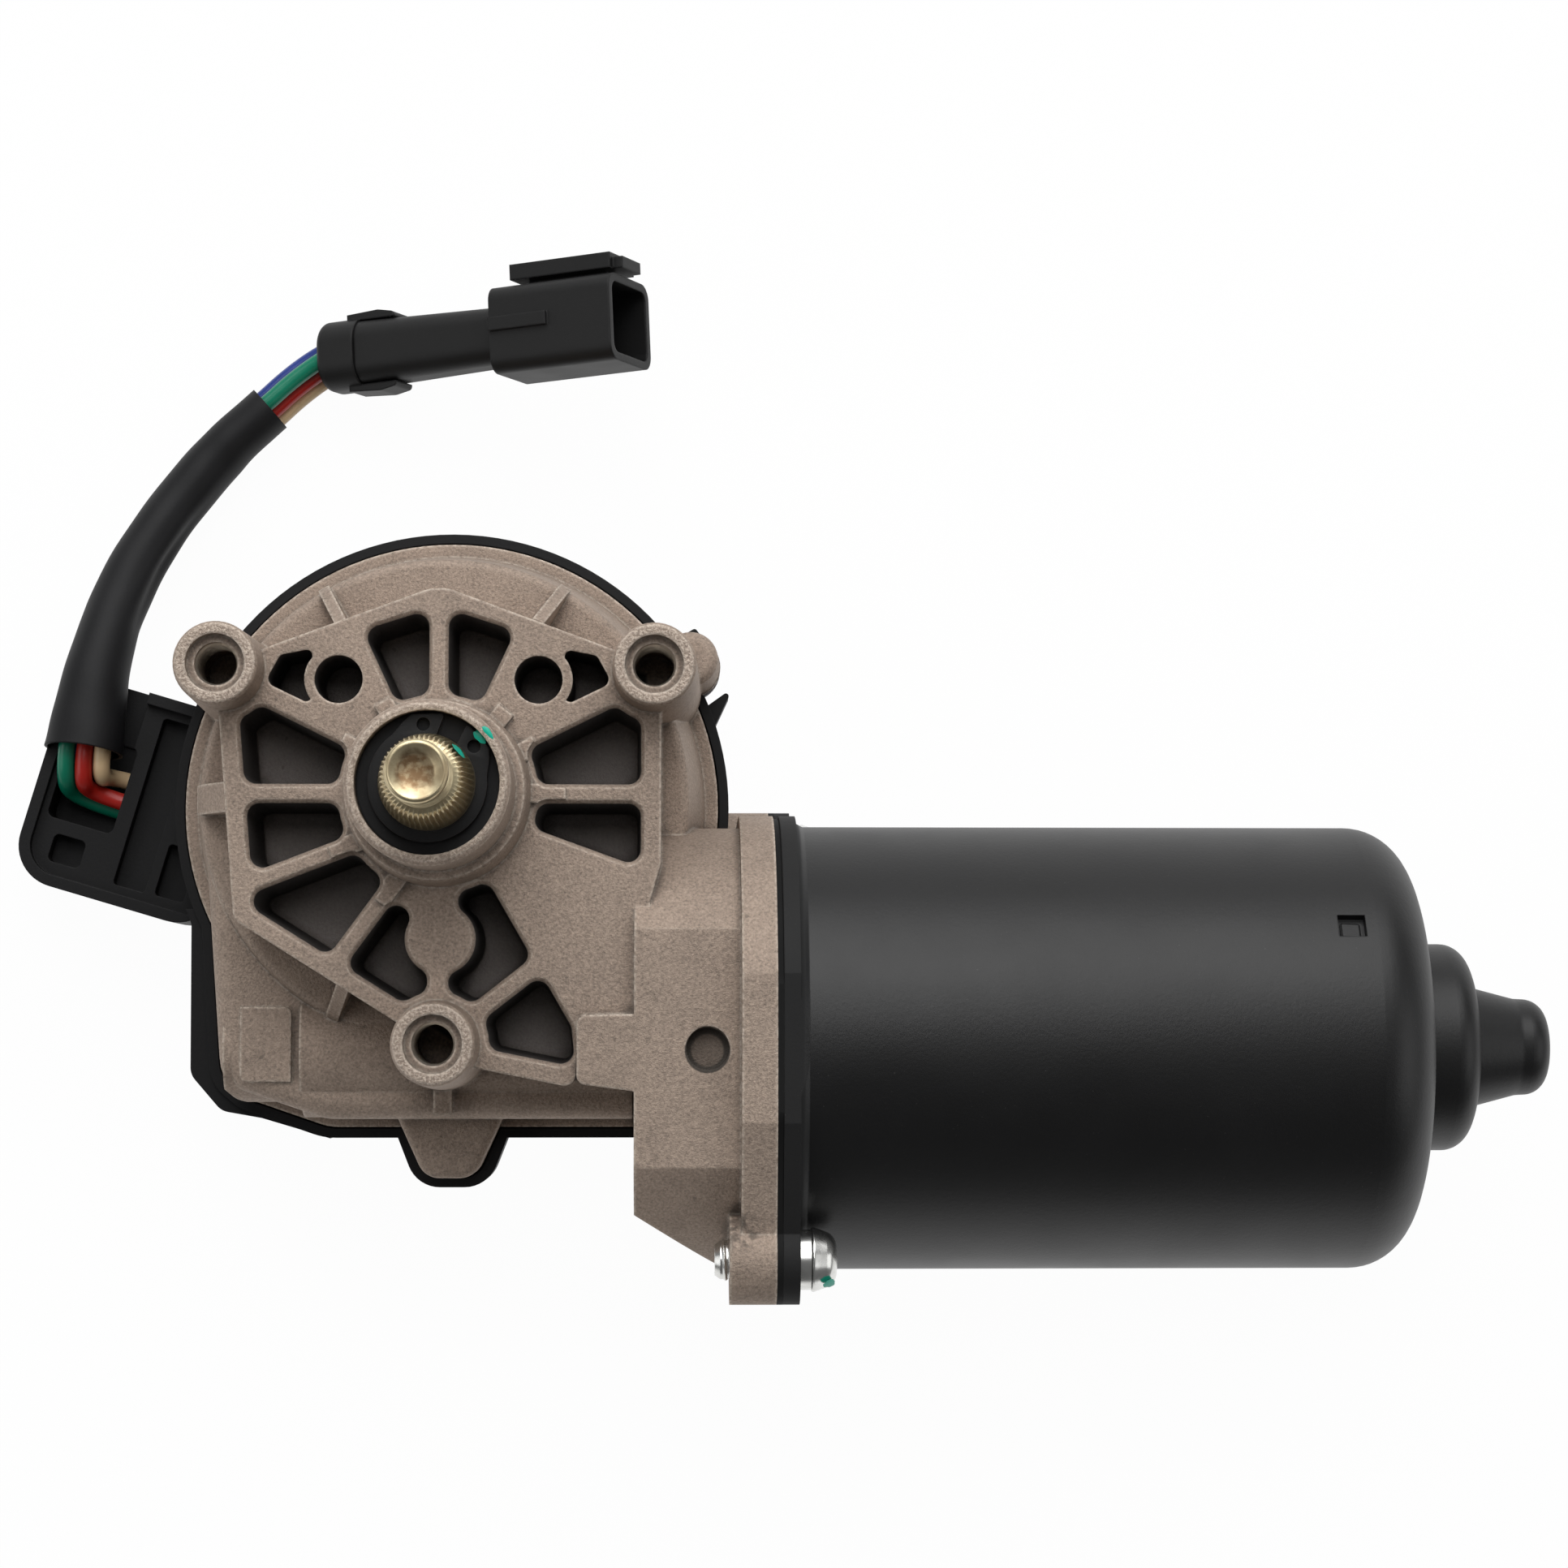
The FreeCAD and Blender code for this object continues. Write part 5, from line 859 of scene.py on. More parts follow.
def dab(place: Place, size: tuple[float, float], turn: float,
        tilt: Optional[Matrix] = None) -> bmesh.types.BMesh:
    """A thin dab of paint with an uneven outline and a domed middle.

    Args:
        place: Its middle, in millimetres.
        size: Half its width and half its length, in millimetres.
        turn: Its direction in the XY plane, in degrees.
        tilt: A turn that lays it on a slope.

    Returns:
        The dab, in metres.
    """
    mesh = bmesh.new()
    bmesh.ops.create_circle(mesh, cap_ends=True, segments=28, radius=1.0)
    face = list(mesh.faces)
    bmesh.ops.inset_individual(mesh, faces=face, thickness=0.25, depth=0.0)
    bmesh.ops.inset_individual(mesh, faces=[face[0]], thickness=0.35, depth=0.0)
    for vert in mesh.verts:
        angle = math.atan2(vert.co.y, vert.co.x)
        height = 0.07 * (1.0 - vert.co.length ** 2) + 0.01
        wave = 1.0 + 0.10 * math.sin(3 * angle + 0.6) + 0.05 * math.sin(7 * angle)
        vert.co = Vector((vert.co.x * wave * size[0], vert.co.y * wave * size[1], height)) / 1000.0
    flat = Matrix.Rotation(math.radians(turn), 4, "Z")
    return placed(mesh, place, tilt @ flat if tilt else flat)


@dataclass
class GearHousing(SubAssembly):
    """The die casting with its seal, the threads in its bosses and its inspection mark."""

    mark_at: tuple[float, float, float] = (7.55, 6.25, 13.5)
    mark_size: tuple[float, float] = (0.34, 1.0)
    mark_turn: float = 40.0
    boss_circle: float = 32.5
    boss_angles: tuple[float, ...] = (-90.0, 30.0, 150.0)
    bore_r: float = 2.8
    recess_depth: float = 1.6
    thread_length: float = 9.3
    thread_height: float = 0.30
    thread_turns: float = 8.2

    def boss_threads(self) -> None:
        """Cut threads in the mouths of the three boss holes."""
        root = self.bore_r + 0.04
        crest = root - self.thread_height
        flank = [(root, 0.0), (crest, 0.34), (crest, 0.44), (root, 0.80)]
        low = -self.recess_depth - self.thread_length
        spots = (arc(self.boss_circle, angle, angle, 2)[0] for angle in self.boss_angles)
        for number, (x, y) in enumerate(spots, start=1):
            skin = placed(helix(flank, 1.0, low, self.thread_turns), (x, y, 0.0))
            self.piece("boss_thread_%d" % number, skin, Finish.BORE, Body.ROOT)

    def build(self) -> None:
        """Dresses the casting, cuts its threads and adds the dab of paint on its collar."""
        self.boss_threads()
        self.dress_nodes({Finish.CAST: ("gear_housing",), Finish.RUBBER: ("cover_seal",)})
        mark = dab(self.mark_at, self.mark_size, self.mark_turn)
        self.piece("collar_mark", mark, Finish.MARK, Body.ROOT)


@dataclass
class OutputDrive(SubAssembly):
    """Output shaft with its knurl and thread, wheel, clip and washers."""

    foot: float = -38.5
    journal_r: float = 6.0
    groove: tuple[float, float, float] = (5.5, 11.05, 12.25)
    knurl: tuple[float, float, float] = (14.2, 22.7, 5.15)
    knurl_teeth: int = 50
    knurl_depth: float = 0.46
    thread_r: float = 3.9
    thread_root_r: float = 3.27
    thread_pitch: float = 1.25
    thread_span: tuple[float, float] = (23.9, 31.0)
    top: float = 32.2
    clip_r: float = 7.45
    clip_axis: float = 66.3
    clip_ear: tuple[tuple[float, float], ...] = (
        (13.2, 6.1), (10.3, 8.55), (12.2, 8.85), (36.4, 8.8), (39.6, 8.6), (46.0, 8.2))
    clip_merge: float = 60.0
    clip_hole: tuple[float, float, float] = (28.0, 7.35, 0.84)
    clip_edge: float = 0.06
    clip_mark: tuple[float, float, float] = (6.51, 5.77, 12.26)
    knurl_mark: tuple[float, float, float] = (4.33, 3.42, 19.6)
    mark_slope: tuple[float, float] = (38.3, 84.3)

    def clip(self) -> bmesh.types.BMesh:
        """The circlip: an open ring with a broad ear on each side of its gap.

        Returns:
            The clip, in its groove.
        """
        inner, low, high = self.groove
        middle = self.clip_axis

        def at(angle: float, radius: float) -> tuple[float, float]:
            """The point at an angle and radius."""
            return arc(radius, angle, angle, 2)[0]

        outline = arc(self.clip_r, middle + self.clip_merge, middle + 360.0 - self.clip_merge, 72)
        outline += [at(middle - turn, reach) for turn, reach in reversed(self.clip_ear)]
        outline += arc(inner, middle - 15.0, middle - 345.0, 90)
        outline += [at(middle + turn, reach) for turn, reach in self.clip_ear]
        turn, reach, hole = self.clip_hole
        loops = [outline]
        for angle in (middle - turn, middle + turn):
            x, y = at(angle, reach)
            loops.append([(x + u, y + v) for u, v in arc(hole, 0.0, 345.0, 24)])
        curve = bpy.data.curves.new("clip_outline", "CURVE")
        curve.dimensions = "2D"
        curve.fill_mode = "BOTH"
        curve.extrude = ((high - low) / 2.0 - self.clip_edge) / 1000.0
        curve.bevel_depth = self.clip_edge / 1000.0
        curve.offset = -self.clip_edge / 1000.0
        curve.bevel_resolution = 1
        for loop in loops:
            line = curve.splines.new("POLY")
            line.points.add(len(loop) - 1)
            line.use_cyclic_u = True
            for point, (x, y) in zip(line.points, loop):
                point.co = (x / 1000.0, y / 1000.0, 0.0, 1.0)
        drawn = bpy.data.objects.new("clip_outline", curve)
        bpy.context.scene.collection.objects.link(drawn)
        graph = bpy.context.evaluated_depsgraph_get()
        data = bpy.data.meshes.new_from_object(drawn.evaluated_get(graph))
        mesh = bmesh.new()
        mesh.from_mesh(data)
        bmesh.ops.remove_doubles(mesh, verts=mesh.verts, dist=1e-6)
        bpy.data.objects.remove(drawn)
        bpy.data.meshes.remove(data)
        return placed(mesh, (0.0, 0.0, (low + high) / 2.0))

    def shaft(self) -> bmesh.types.BMesh:
        """The shaft up to the foot of its thread, with the knurl cut in its cone.

        Returns:
            The shaft without thread and end.
        """
        low, high, tip = self.knurl
        neck = self.thread_root_r + 0.1
        rows = 7
        cone = [(self.journal_r + (tip - self.journal_r) * i / rows, low + (high - low) * i / rows)
                for i in range(rows + 1)]
        profile = [(0.0, self.foot), (self.journal_r - 1.5, self.foot),
                   (self.journal_r, self.foot + 1.5), (self.journal_r, self.groove[1]),
                   (self.groove[0], self.groove[1]), (self.groove[0], self.groove[2]),
                   (self.journal_r, self.groove[2]), (self.journal_r, low - 0.25)]
        profile += cone
        profile += [(tip - 0.25, high + 0.22), (tip - 0.6, high + 0.42),
                    (neck + 0.6, high + 0.5), (neck + 0.15, high + 0.7), (neck, high + 1.0),
                    (neck, high + 1.4), (0.0, high + 1.4)]
        mesh = turned(profile, self.knurl_teeth * 6)
        for vert in mesh.verts:
            height = vert.co.z * 1000.0
            if not low - 0.01 < height < high + 0.3:
                continue
            radius = math.hypot(vert.co.x, vert.co.y) * 1000.0
            if radius < tip - 0.3:
                continue
            phase = math.atan2(vert.co.y, vert.co.x) * self.knurl_teeth
            cut = self.knurl_depth * (0.5 - 0.5 * math.cos(phase)) ** 0.8
            fade = min(1.0, max(0.0, (height - low) / 0.5))
            scale = (radius - cut * fade) / radius
            vert.co.x *= scale
            vert.co.y *= scale
        return mesh

    def thread(self) -> bmesh.types.BMesh:
        """The stud's thread, from its foot to the dished end.

        Returns:
            The thread's skin.
        """
        low, high = self.thread_span
        crest, root = self.thread_r, self.thread_root_r
        flank = [(root, 0.0), (root, 0.12), (crest - 0.05, 0.5), (crest, 0.54), (crest, 0.66),
                 (crest - 0.05, 0.70), (root, 1.08), (root, 1.25)]
        turns = (high - low) / self.thread_pitch
        return helix(flank, self.thread_pitch, low - self.thread_pitch, turns)

    def stud_end(self) -> bmesh.types.BMesh:
        """The stud's rolled end: rounded shoulder, dish with turning rings and a centre mark.

        Returns:
            The end's skin.
        """
        top = self.top
        rim = [(0.0, -1.9), (3.27, -1.9), (3.6, -1.6), (3.88, -1.25), (3.9, -0.62),
               (3.82, -0.26), (3.62, -0.05), (3.38, 0.0), (3.16, -0.06), (2.95, -0.14),
               (2.5, -0.22), (2.25, -0.36), (2.05, -0.42), (1.7, -0.43), (1.5, -0.47),
               (1.0, -0.49), (0.5, -0.51), (0.0, -0.52)]
        return turned([(r, top + z) for r, z in rim], 72)

    def build(self) -> None:
        """Replaces the plain shaft and its clip and dresses the rest of the drive."""
        self.dress_nodes({
            Finish.NYLON: ("worm_wheel",), Finish.COPPER: ("park_ring",),
            Finish.CLIP: ("hub_washer",), Finish.STEEL: ("wheel_washer",),
            Finish.RUBBER: ("shaft_seal_ring",),
            Finish.BRONZE: ("upper_shaft_bush", "lower_shaft_bush")})
        body = self.piece("shaft_body", self.shaft(), Finish.SHAFT, Body.OUTPUT, 40.0)
        thread = self.piece("stud_thread", self.thread(), Finish.SHAFT, Body.OUTPUT, 45.0)
        end = self.piece("stud_end", self.stud_end(), Finish.SHAFT, Body.OUTPUT, 45.0)
        for part in (body, thread, end):
            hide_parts("output_shaft")
        clip = self.piece("circlip", self.clip(), Finish.CLIP, Body.OUTPUT, 30.0)
        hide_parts("retaining_clip")
        around, lean = (math.radians(angle) for angle in self.mark_slope)
        slope = Matrix.Rotation(around, 4, "Z") @ Matrix.Rotation(lean, 4, "Y")
        on_clip = dab(self.clip_mark, (0.58, 0.98), 40.0)
        on_knurl = dab(self.knurl_mark, (2.6, 1.05), 0.0, slope)
        self.piece("clip_mark", on_clip, Finish.MARK, Body.OUTPUT)
        self.piece("knurl_mark", on_knurl, Finish.MARK, Body.OUTPUT)


@dataclass
class MotorCan(SubAssembly):
    """The drawn can with its gasket, ear screws and what it holds."""

    axis: tuple[float, float] = (-33.0, -31.0)
    can_r: float = 30.0
    tab_x: float = 119.0
    tab_turn: float = -32.0
    tab_size: tuple[float, float, float] = (2.7, 2.3, 0.5)
    tab_edge: float = 0.18
    tab_profile: float = 0.0
    tab_lean: float = 4.0
    tab_shift: tuple[float, float] = (-0.1, -0.2)
    tab_sunk: float = 1.1
    ear_turn: float = 142.5
    ear_circle: float = 34.6
    screw_r: float = 2.5
    thread_x: float = 36.6
    thread_height: float = 0.24
    thread_pitch: float = 0.8
    thread_turns: float = 1.7
    mark_from_screw: tuple[float, float] = (-2.9, 2.45)
    mark_x: float = 50.9
    mark_faces: tuple[float, float, float] = (0.55, -0.75, 0.55)
    brush_angles: dict[str, float] = field(default_factory=lambda: {
        "common": 90.0, "low_speed": 270.0, "high_speed": 210.0})
    spring_keep: float = 0.3

    def tab(self) -> bmesh.types.BMesh:
        """The tongue that is pressed into the notch near the can's closed end.

        Returns:
            The tongue, in its place.
        """
        mesh = bmesh.new()
        bmesh.ops.create_cube(mesh, size=0.001)
        bmesh.ops.scale(mesh, vec=self.tab_size, verts=mesh.verts)
        bmesh.ops.bevel(mesh, geom=mesh.edges, offset=self.tab_edge / 1000.0, segments=2,
                        profile=self.tab_profile, affect="EDGES", material=-1)
        lean = Matrix.Rotation(math.radians(self.tab_lean), 4, "Y")
        middle = Vector((*self.tab_shift, self.can_r - self.tab_sunk))
        lift = Matrix.Translation(middle / 1000.0)
        turn = Matrix.Rotation(math.radians(self.tab_turn), 4, "X")
        return placed(mesh, (self.tab_x, *self.axis), turn @ lift @ lean)

    def beside_screw(self, angle: float, x: float) -> Vector:
        """A point on the line of the ear screw at this angle round the can."""
        y, z = arc(self.ear_circle, angle, angle, 2)[0]
        return Vector((x, self.axis[0] + y, self.axis[1] + z))

    def screw_threads(self) -> None:
        """Threads on the two screw tips that stand out of the casting's ears."""
        root = self.screw_r - 0.04
        crest = root + self.thread_height
        flank = [(root, 0.0), (crest, 0.30), (crest, 0.38), (root, 0.68)]
        lying = Matrix.Rotation(math.radians(90.0), 4, "Y")
        for number, angle in enumerate((self.ear_turn, self.ear_turn + 180.0), start=1):
            skin = helix(flank, self.thread_pitch, 0.0, self.thread_turns)
            skin = placed(skin, self.beside_screw(angle, self.thread_x), lying)
            self.piece("ear_screw_thread_%d" % number, skin, Finish.SCREW, Body.ROOT)

    def head_mark(self) -> None:
        """The dab of marking paint on the front ear screw's head."""
        place = self.beside_screw(self.ear_turn, self.mark_x) + Vector((0.0, *self.mark_from_screw))
        tilt = Vector(self.mark_faces).to_track_quat("Z", "Y").to_matrix().to_4x4()
        self.piece("screw_mark", dab(place, (0.75, 1.1), 20.0, tilt), Finish.MARK, Body.ROOT)

    def springs(self) -> None:
        """The brushes' coil springs, each copied from its CAD node into a new piece."""
        for name, angle in self.brush_angles.items():
            node = self.frame["nodes"]["brush_spring_" + name]
            mesh = bmesh.new()
            mesh.from_mesh(node.data)
            bmesh.ops.transform(mesh, matrix=node.matrix_world, verts=mesh.verts)
            bmesh.ops.remove_doubles(mesh, verts=mesh.verts, dist=1e-6)
            coil = self.piece("brush_coil_" + name, mesh, Finish.STEEL, Body.ROOT, 60.0)
            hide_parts(node.name)
            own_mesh(coil)

    def build(self) -> None:
        """Dresses the can and its inner pieces, and adds its tab, threads and springs."""
        self.springs()
        self.piece("yoke_tab", self.tab(), Finish.PAINT, Body.ROOT)
        self.screw_threads()
        self.head_mark()
        self.dress_nodes({
            Finish.PAINT: ("motor_yoke",), Finish.RUBBER: ("yoke_gasket",),
            Finish.SCREW: ("yoke_screws",), Finish.FERRITE: ("field_magnets",),
            Finish.BROWN: ("brush_plate",), Finish.BRASS: ("brush_guides",),
            Finish.WINDING: ("choke_coils",), Finish.PLASTIC: ("circuit_breaker",),
            Finish.BRONZE: ("rear_bush",),
            Finish.STEEL: ("magnet_springs", "rear_bush_ring", "thrust_ball",
                           "front_bearing_outer", "bearing_retainer"),
            Finish.CARBON: ("brush_common", "brush_low_speed", "brush_high_speed")})


@dataclass
class Armature(SubAssembly):
    """Shaft with the worm, core, windings, commutator and bearing."""

    def build(self) -> None:
        """Dresses the armature."""
        self.dress_nodes({
            Finish.STEEL: ("armature_shaft", "front_bearing_inner", "bearing_balls",
                           "worm_thrust_pad"),
            Finish.LAMINATION: ("armature_core",), Finish.WINDING: ("armature_windings",),
            Finish.COPPER: ("commutator_bars",), Finish.BROWN: ("commutator_hub",),
            Finish.BRASS: ("bearing_cage",), Finish.BRONZE: ("worm_end_bush",)})


@dataclass
class GearCover(SubAssembly):
    """The moulded cover, its screws and what sits inside it."""

    def build(self) -> None:
        """Dresses the cover."""
        self.dress_nodes({
            Finish.PLASTIC: ("gear_cover",), Finish.SCREW: ("cover_screws",),
            Finish.BROWN: ("contact_plate",), Finish.BRASS: ("park_contacts",),
            Finish.RED: ("brush_leads",), Finish.RUBBER: ("lead_grommet",)})


@dataclass
class Harness(SubAssembly):
    """Five wires in their sleeve, from the cable block to the connector."""

    wire_r: float = 1.2
    sleeve_facets: int = 48
    sleeve_start: tuple[float, float, float] = (-51.95, 8.3, -43.7)
    sleeve_wall: float = 0.5
    sleeve_wide: tuple[float, float, float] = (5.5, 1.1, 0.85)
    sleeve_high: tuple[float, float] = (4.85, 0.45)
    sleeve_narrowed: float = 0.35
    sleeve_waves: tuple[tuple[float, float, float], ...] = (
        (0.012, 19.0, 2.0), (0.0072, 47.0, -1.0))
    sleeve_folded: float = 0.52
    sleeve_fold: tuple[tuple[float, float, float, float], ...] = (
        (-0.13, 0.35, 0.16, 0.22), (0.05, 0.85, 0.18, 0.20))
    bend: tuple[float, float, float] = (-52.1, 5.4, -43.2)
    sleeve: Route = field(default_factory=lambda: [
        (-51.6, 10.9, -44.1), (-50.8, 18.9, -46.0), (-49.2, 27.4, -49.2), (-46.2, 35.8, -52.8),
        (-41.6, 43.9, -55.2), (-35.8, 51.2, -56.0), (-32.0, 55.3, -56.1), (-27.8, 59.0, -56.0)])
    onward: Route = field(default_factory=lambda: [(-24.5, 62.1, -55.9), (-21.0, 64.7, -55.6)])
    plug: tuple[float, float, float] = (-19.05, 66.1, -55.2)
    plug_turn: float = 2.5
    plug_tilt: float = 24.0
    cap_depth: float = 6.2
    places: dict[str, tuple[float, float]] = field(default_factory=lambda: {
        "green": (-2.5, 1.0), "red": (0.0, 1.0), "white": (2.5, 1.0), "blue": (-1.3, -1.8),
        "black": (1.3, -1.8)})
    twist: float = -60.0
    squeeze: float = 0.24
    wall_wires: dict[str, tuple[float, float, float]] = field(default_factory=lambda: {
        "green": (4.8, 12.9, 4.2), "red": (7.2, 14.2, 1.8), "white": (8.7, 17.3, 4.2)})
    lengths: dict[str, float] = field(default_factory=lambda: {
        "green": 0.0947, "red": 0.0885, "white": 0.0860, "blue": 0.0852, "black": 0.0830})
    block_corner: tuple[float, float] = (-62.4, -8.9)
    block_turn: float = -16.5
    block_top: float = -46.0
    pocket_depth: float = 6.0
    hole_u: float = 12.0
    grip: float = 1.0

    def in_block(self, u: float, v: float) -> Vector:
        """A point of the cable block from its lower left corner.

        Args:
            u: How far along the block's width, in millimetres.
            v: How far up the block.

        Returns:
            The point, at height 0.
        """
        turn = math.radians(self.block_turn)
        across = Vector((math.cos(turn), math.sin(turn), 0.0))
        up = Vector((-math.sin(turn), math.cos(turn), 0.0))
        return Vector((*self.block_corner, 0.0)) + across * u + up * v

    def along_plug(self, distance: float) -> tuple[float, float, float]:
        """A point on the connector's own line.

        Args:
            distance: How far from the cap's rim, in millimetres.

        Returns:
            The point.
        """
        tilt, turn = math.radians(self.plug_tilt), math.radians(self.plug_turn)
        flat = distance * math.cos(tilt)
        x, y, z = self.plug
        return (x + flat * math.cos(turn), y + flat * math.sin(turn), z + distance * math.sin(tilt))

    def beside(self, points: Route, sideways: float, above: float) -> list[Vector]:
        """The bundle's route moved sideways and up, turned by the bundle's twist on the way.

        Args:
            points: The route of the bundle's middle.
            sideways: How far to its right.
            above: How far above it.

        Returns:
            The moved points.
        """
        moved = []
        for index, point in enumerate(points):
            share = min(max(index - 1, 0) / (len(self.sleeve) - 1), 1.0)
            turn = math.radians(self.twist) * share
            across = sideways * math.cos(turn) - above * math.sin(turn)
            up = sideways * math.sin(turn) + above * math.cos(turn)
            here = Vector(point)
            back = Vector(points[max(index - 1, 0)])
            on = Vector(points[min(index + 1, len(points) - 1)])
            steps = [Vector((s.x, s.y, 0.0)).normalized() for s in (here - back, on - here)
                     if s.length > 0.01]
            along = sum(steps, Vector()).normalized()
            stretch = across * (1.0 - self.squeeze * share) / max(along.dot(steps[0]), 0.5)
            slope = on - back
            lift = up * slope.length / math.hypot(slope.x, slope.y)
            right = Vector((along.y, -along.x, 0.0))
            moved.append(here + right * stretch + Vector((0.0, 0.0, lift)))
        return moved

    def wire_route(self, name: str) -> list[Vector]:
        """The route of one wire, from its hole in the block into the connector's cap.

        Args:
            name: The wire's colour.

        Returns:
            The points it passes, in millimetres.
        """
        across, up = self.places[name]
        ends = [self.along_plug(self.cap_depth * 0.15), self.along_plug(self.cap_depth * 0.75)]
        track = self.beside([self.bend] + self.sleeve + self.onward + ends, across, up)
        turn = track[0] + Vector((0.0, -up, 0.0))
        if name in self.wall_wires:
            u, v, depth = self.wall_wires[name]
            z = self.block_top - depth
            start = [self.in_block(self.hole_u + self.grip, v), self.in_block(u, v)]
            start = [Vector((p.x, p.y, z)) for p in start]
        else:
            start = [Vector((turn.x, turn.y + 0.5, self.block_top - self.pocket_depth - self.grip))]
        return start + [turn] + track[2:]

    @staticmethod
    def spline(name: str, points: Iterable[Vector], radius: float) -> bpy.types.Object:
        """A smooth cord through its control points.

        Args:
            name: The object's name.
            points: The control points, in millimetres.
            radius: The cord's radius, in millimetres.

        Returns:
            The curve object.
        """
        points = list(points)
        curve = bpy.data.curves.new(name, "CURVE")
        curve.dimensions = "3D"
        curve.bevel_depth = radius / 1000.0
        curve.bevel_resolution = 8
        curve.use_fill_caps = True
        line = curve.splines.new("NURBS")
        line.points.add(len(points) - 1)
        for control, point in zip(line.points, points):
            control.co = (*(point / 1000.0), 1.0)
        line.order_u = 3
        line.use_endpoint_u = True
        line.resolution_u = 10
        obj = bpy.data.objects.new(name, curve)
        bpy.context.scene.collection.objects.link(obj)
        return obj

    def sleeve_line(self) -> list[Vector]:
        """Points along the smooth middle line of the sleeve, in millimetres.

        Returns:
            The points, from the block upwards.
        """
        route = [self.sleeve_start] + self.sleeve
        line = self.spline("sleeve_line", [Vector(p) for p in route], 0.0)
        line.data.resolution_u = 16
        drawn = line.evaluated_get(bpy.context.evaluated_depsgraph_get())
        mesh = bpy.data.meshes.new_from_object(drawn)
        points = [vert.co * 1000.0 for vert in mesh.vertices]
        bpy.data.meshes.remove(mesh)
        bpy.data.objects.remove(line)
        return points

    def sleeve_ring(self, share: float, angle: float) -> tuple[float, float]:
        """How far the sleeve's skin lies from its middle line.

        Args:
            share: How far along the sleeve, from 0 to 1.
            angle: Which way round it, in radians, 0 on its right.

        Returns:
            The distance to the right and the distance up, in millimetres.
        """
        mouth, narrowing, taper = self.sleeve_wide
        wide = mouth - narrowing * min(share / self.sleeve_narrowed, 1.0) - taper * share
        high = self.sleeve_high[0] - self.sleeve_high[1] * share
        reach = 1.0
        for height, along, around in self.sleeve_waves:
            reach += height * math.sin(share * along + angle * around)
        for height, middle, length, breadth in self.sleeve_fold:
            away = ((share - self.sleeve_folded) / length) ** 2
            reach += height * math.exp(-away - ((angle - middle) / breadth) ** 2)
        return wide * reach * math.cos(angle), high * reach * math.sin(angle)

    def sleeve_tube(self) -> bpy.types.Object:
        """The sleeve as an oval tube with a wall, narrower towards its upper end.

        Returns:
            The sleeve.
        """
        line = self.sleeve_line()
        mesh = bmesh.new()
        rings = []
        for index, here in enumerate(line):
            along = (line[min(index + 1, len(line) - 1)] - line[max(index - 1, 0)]).normalized()
            across = along.cross(Vector((0.0, 0.0, 1.0))).normalized()
            up = across.cross(along)
            ring = bmesh.ops.create_circle(mesh, segments=self.sleeve_facets, radius=1.0)["verts"]
            for vert in ring:
                angle = math.atan2(vert.co.y, vert.co.x)
                side, height = self.sleeve_ring(index / (len(line) - 1), angle)
                vert.co = (here + across * side + up * height) / 1000.0
            rings.append({edge for vert in ring for edge in vert.link_edges})
        for one, other in zip(rings, rings[1:]):
            bmesh.ops.bridge_loops(mesh, edges=list(one | other))
        bmesh.ops.recalc_face_normals(mesh, faces=mesh.faces)
        bmesh.ops.solidify(mesh, geom=mesh.faces, thickness=self.sleeve_wall / 1000.0)
        return self.piece("harness_sleeve_skin", mesh, Finish.SLEEVE, Body.ROOT, 60.0)

    def build(self) -> None:
        """Lays the wires, pulls the sleeve over them and dresses the connector."""
        self.dress_nodes({Finish.PLUG: ("connector_shell", "connector_rear_cap"),
                          Finish.SCREW: ("connector_pins",)})
        sleeve = self.sleeve_tube()
        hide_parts("harness_sleeve")
        for name in self.places:
            route = self.wire_route(name)
            node = "wire_" + name
            wire = self.spline(node + "_line", route, self.wire_r)
            self.finishes.dress(wire, Finish(node))
            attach(wire, Body.ROOT.value)
            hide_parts(node)
            tuple(route[0] / 1000.0)


@dataclass(frozen=True)
class Panel:
    """A soft lamp: where it hangs, its width and height, and its glow, where 1 is white."""

    name: str
    place: tuple[float, float, float]
    size: tuple[float, float]
    glow: float


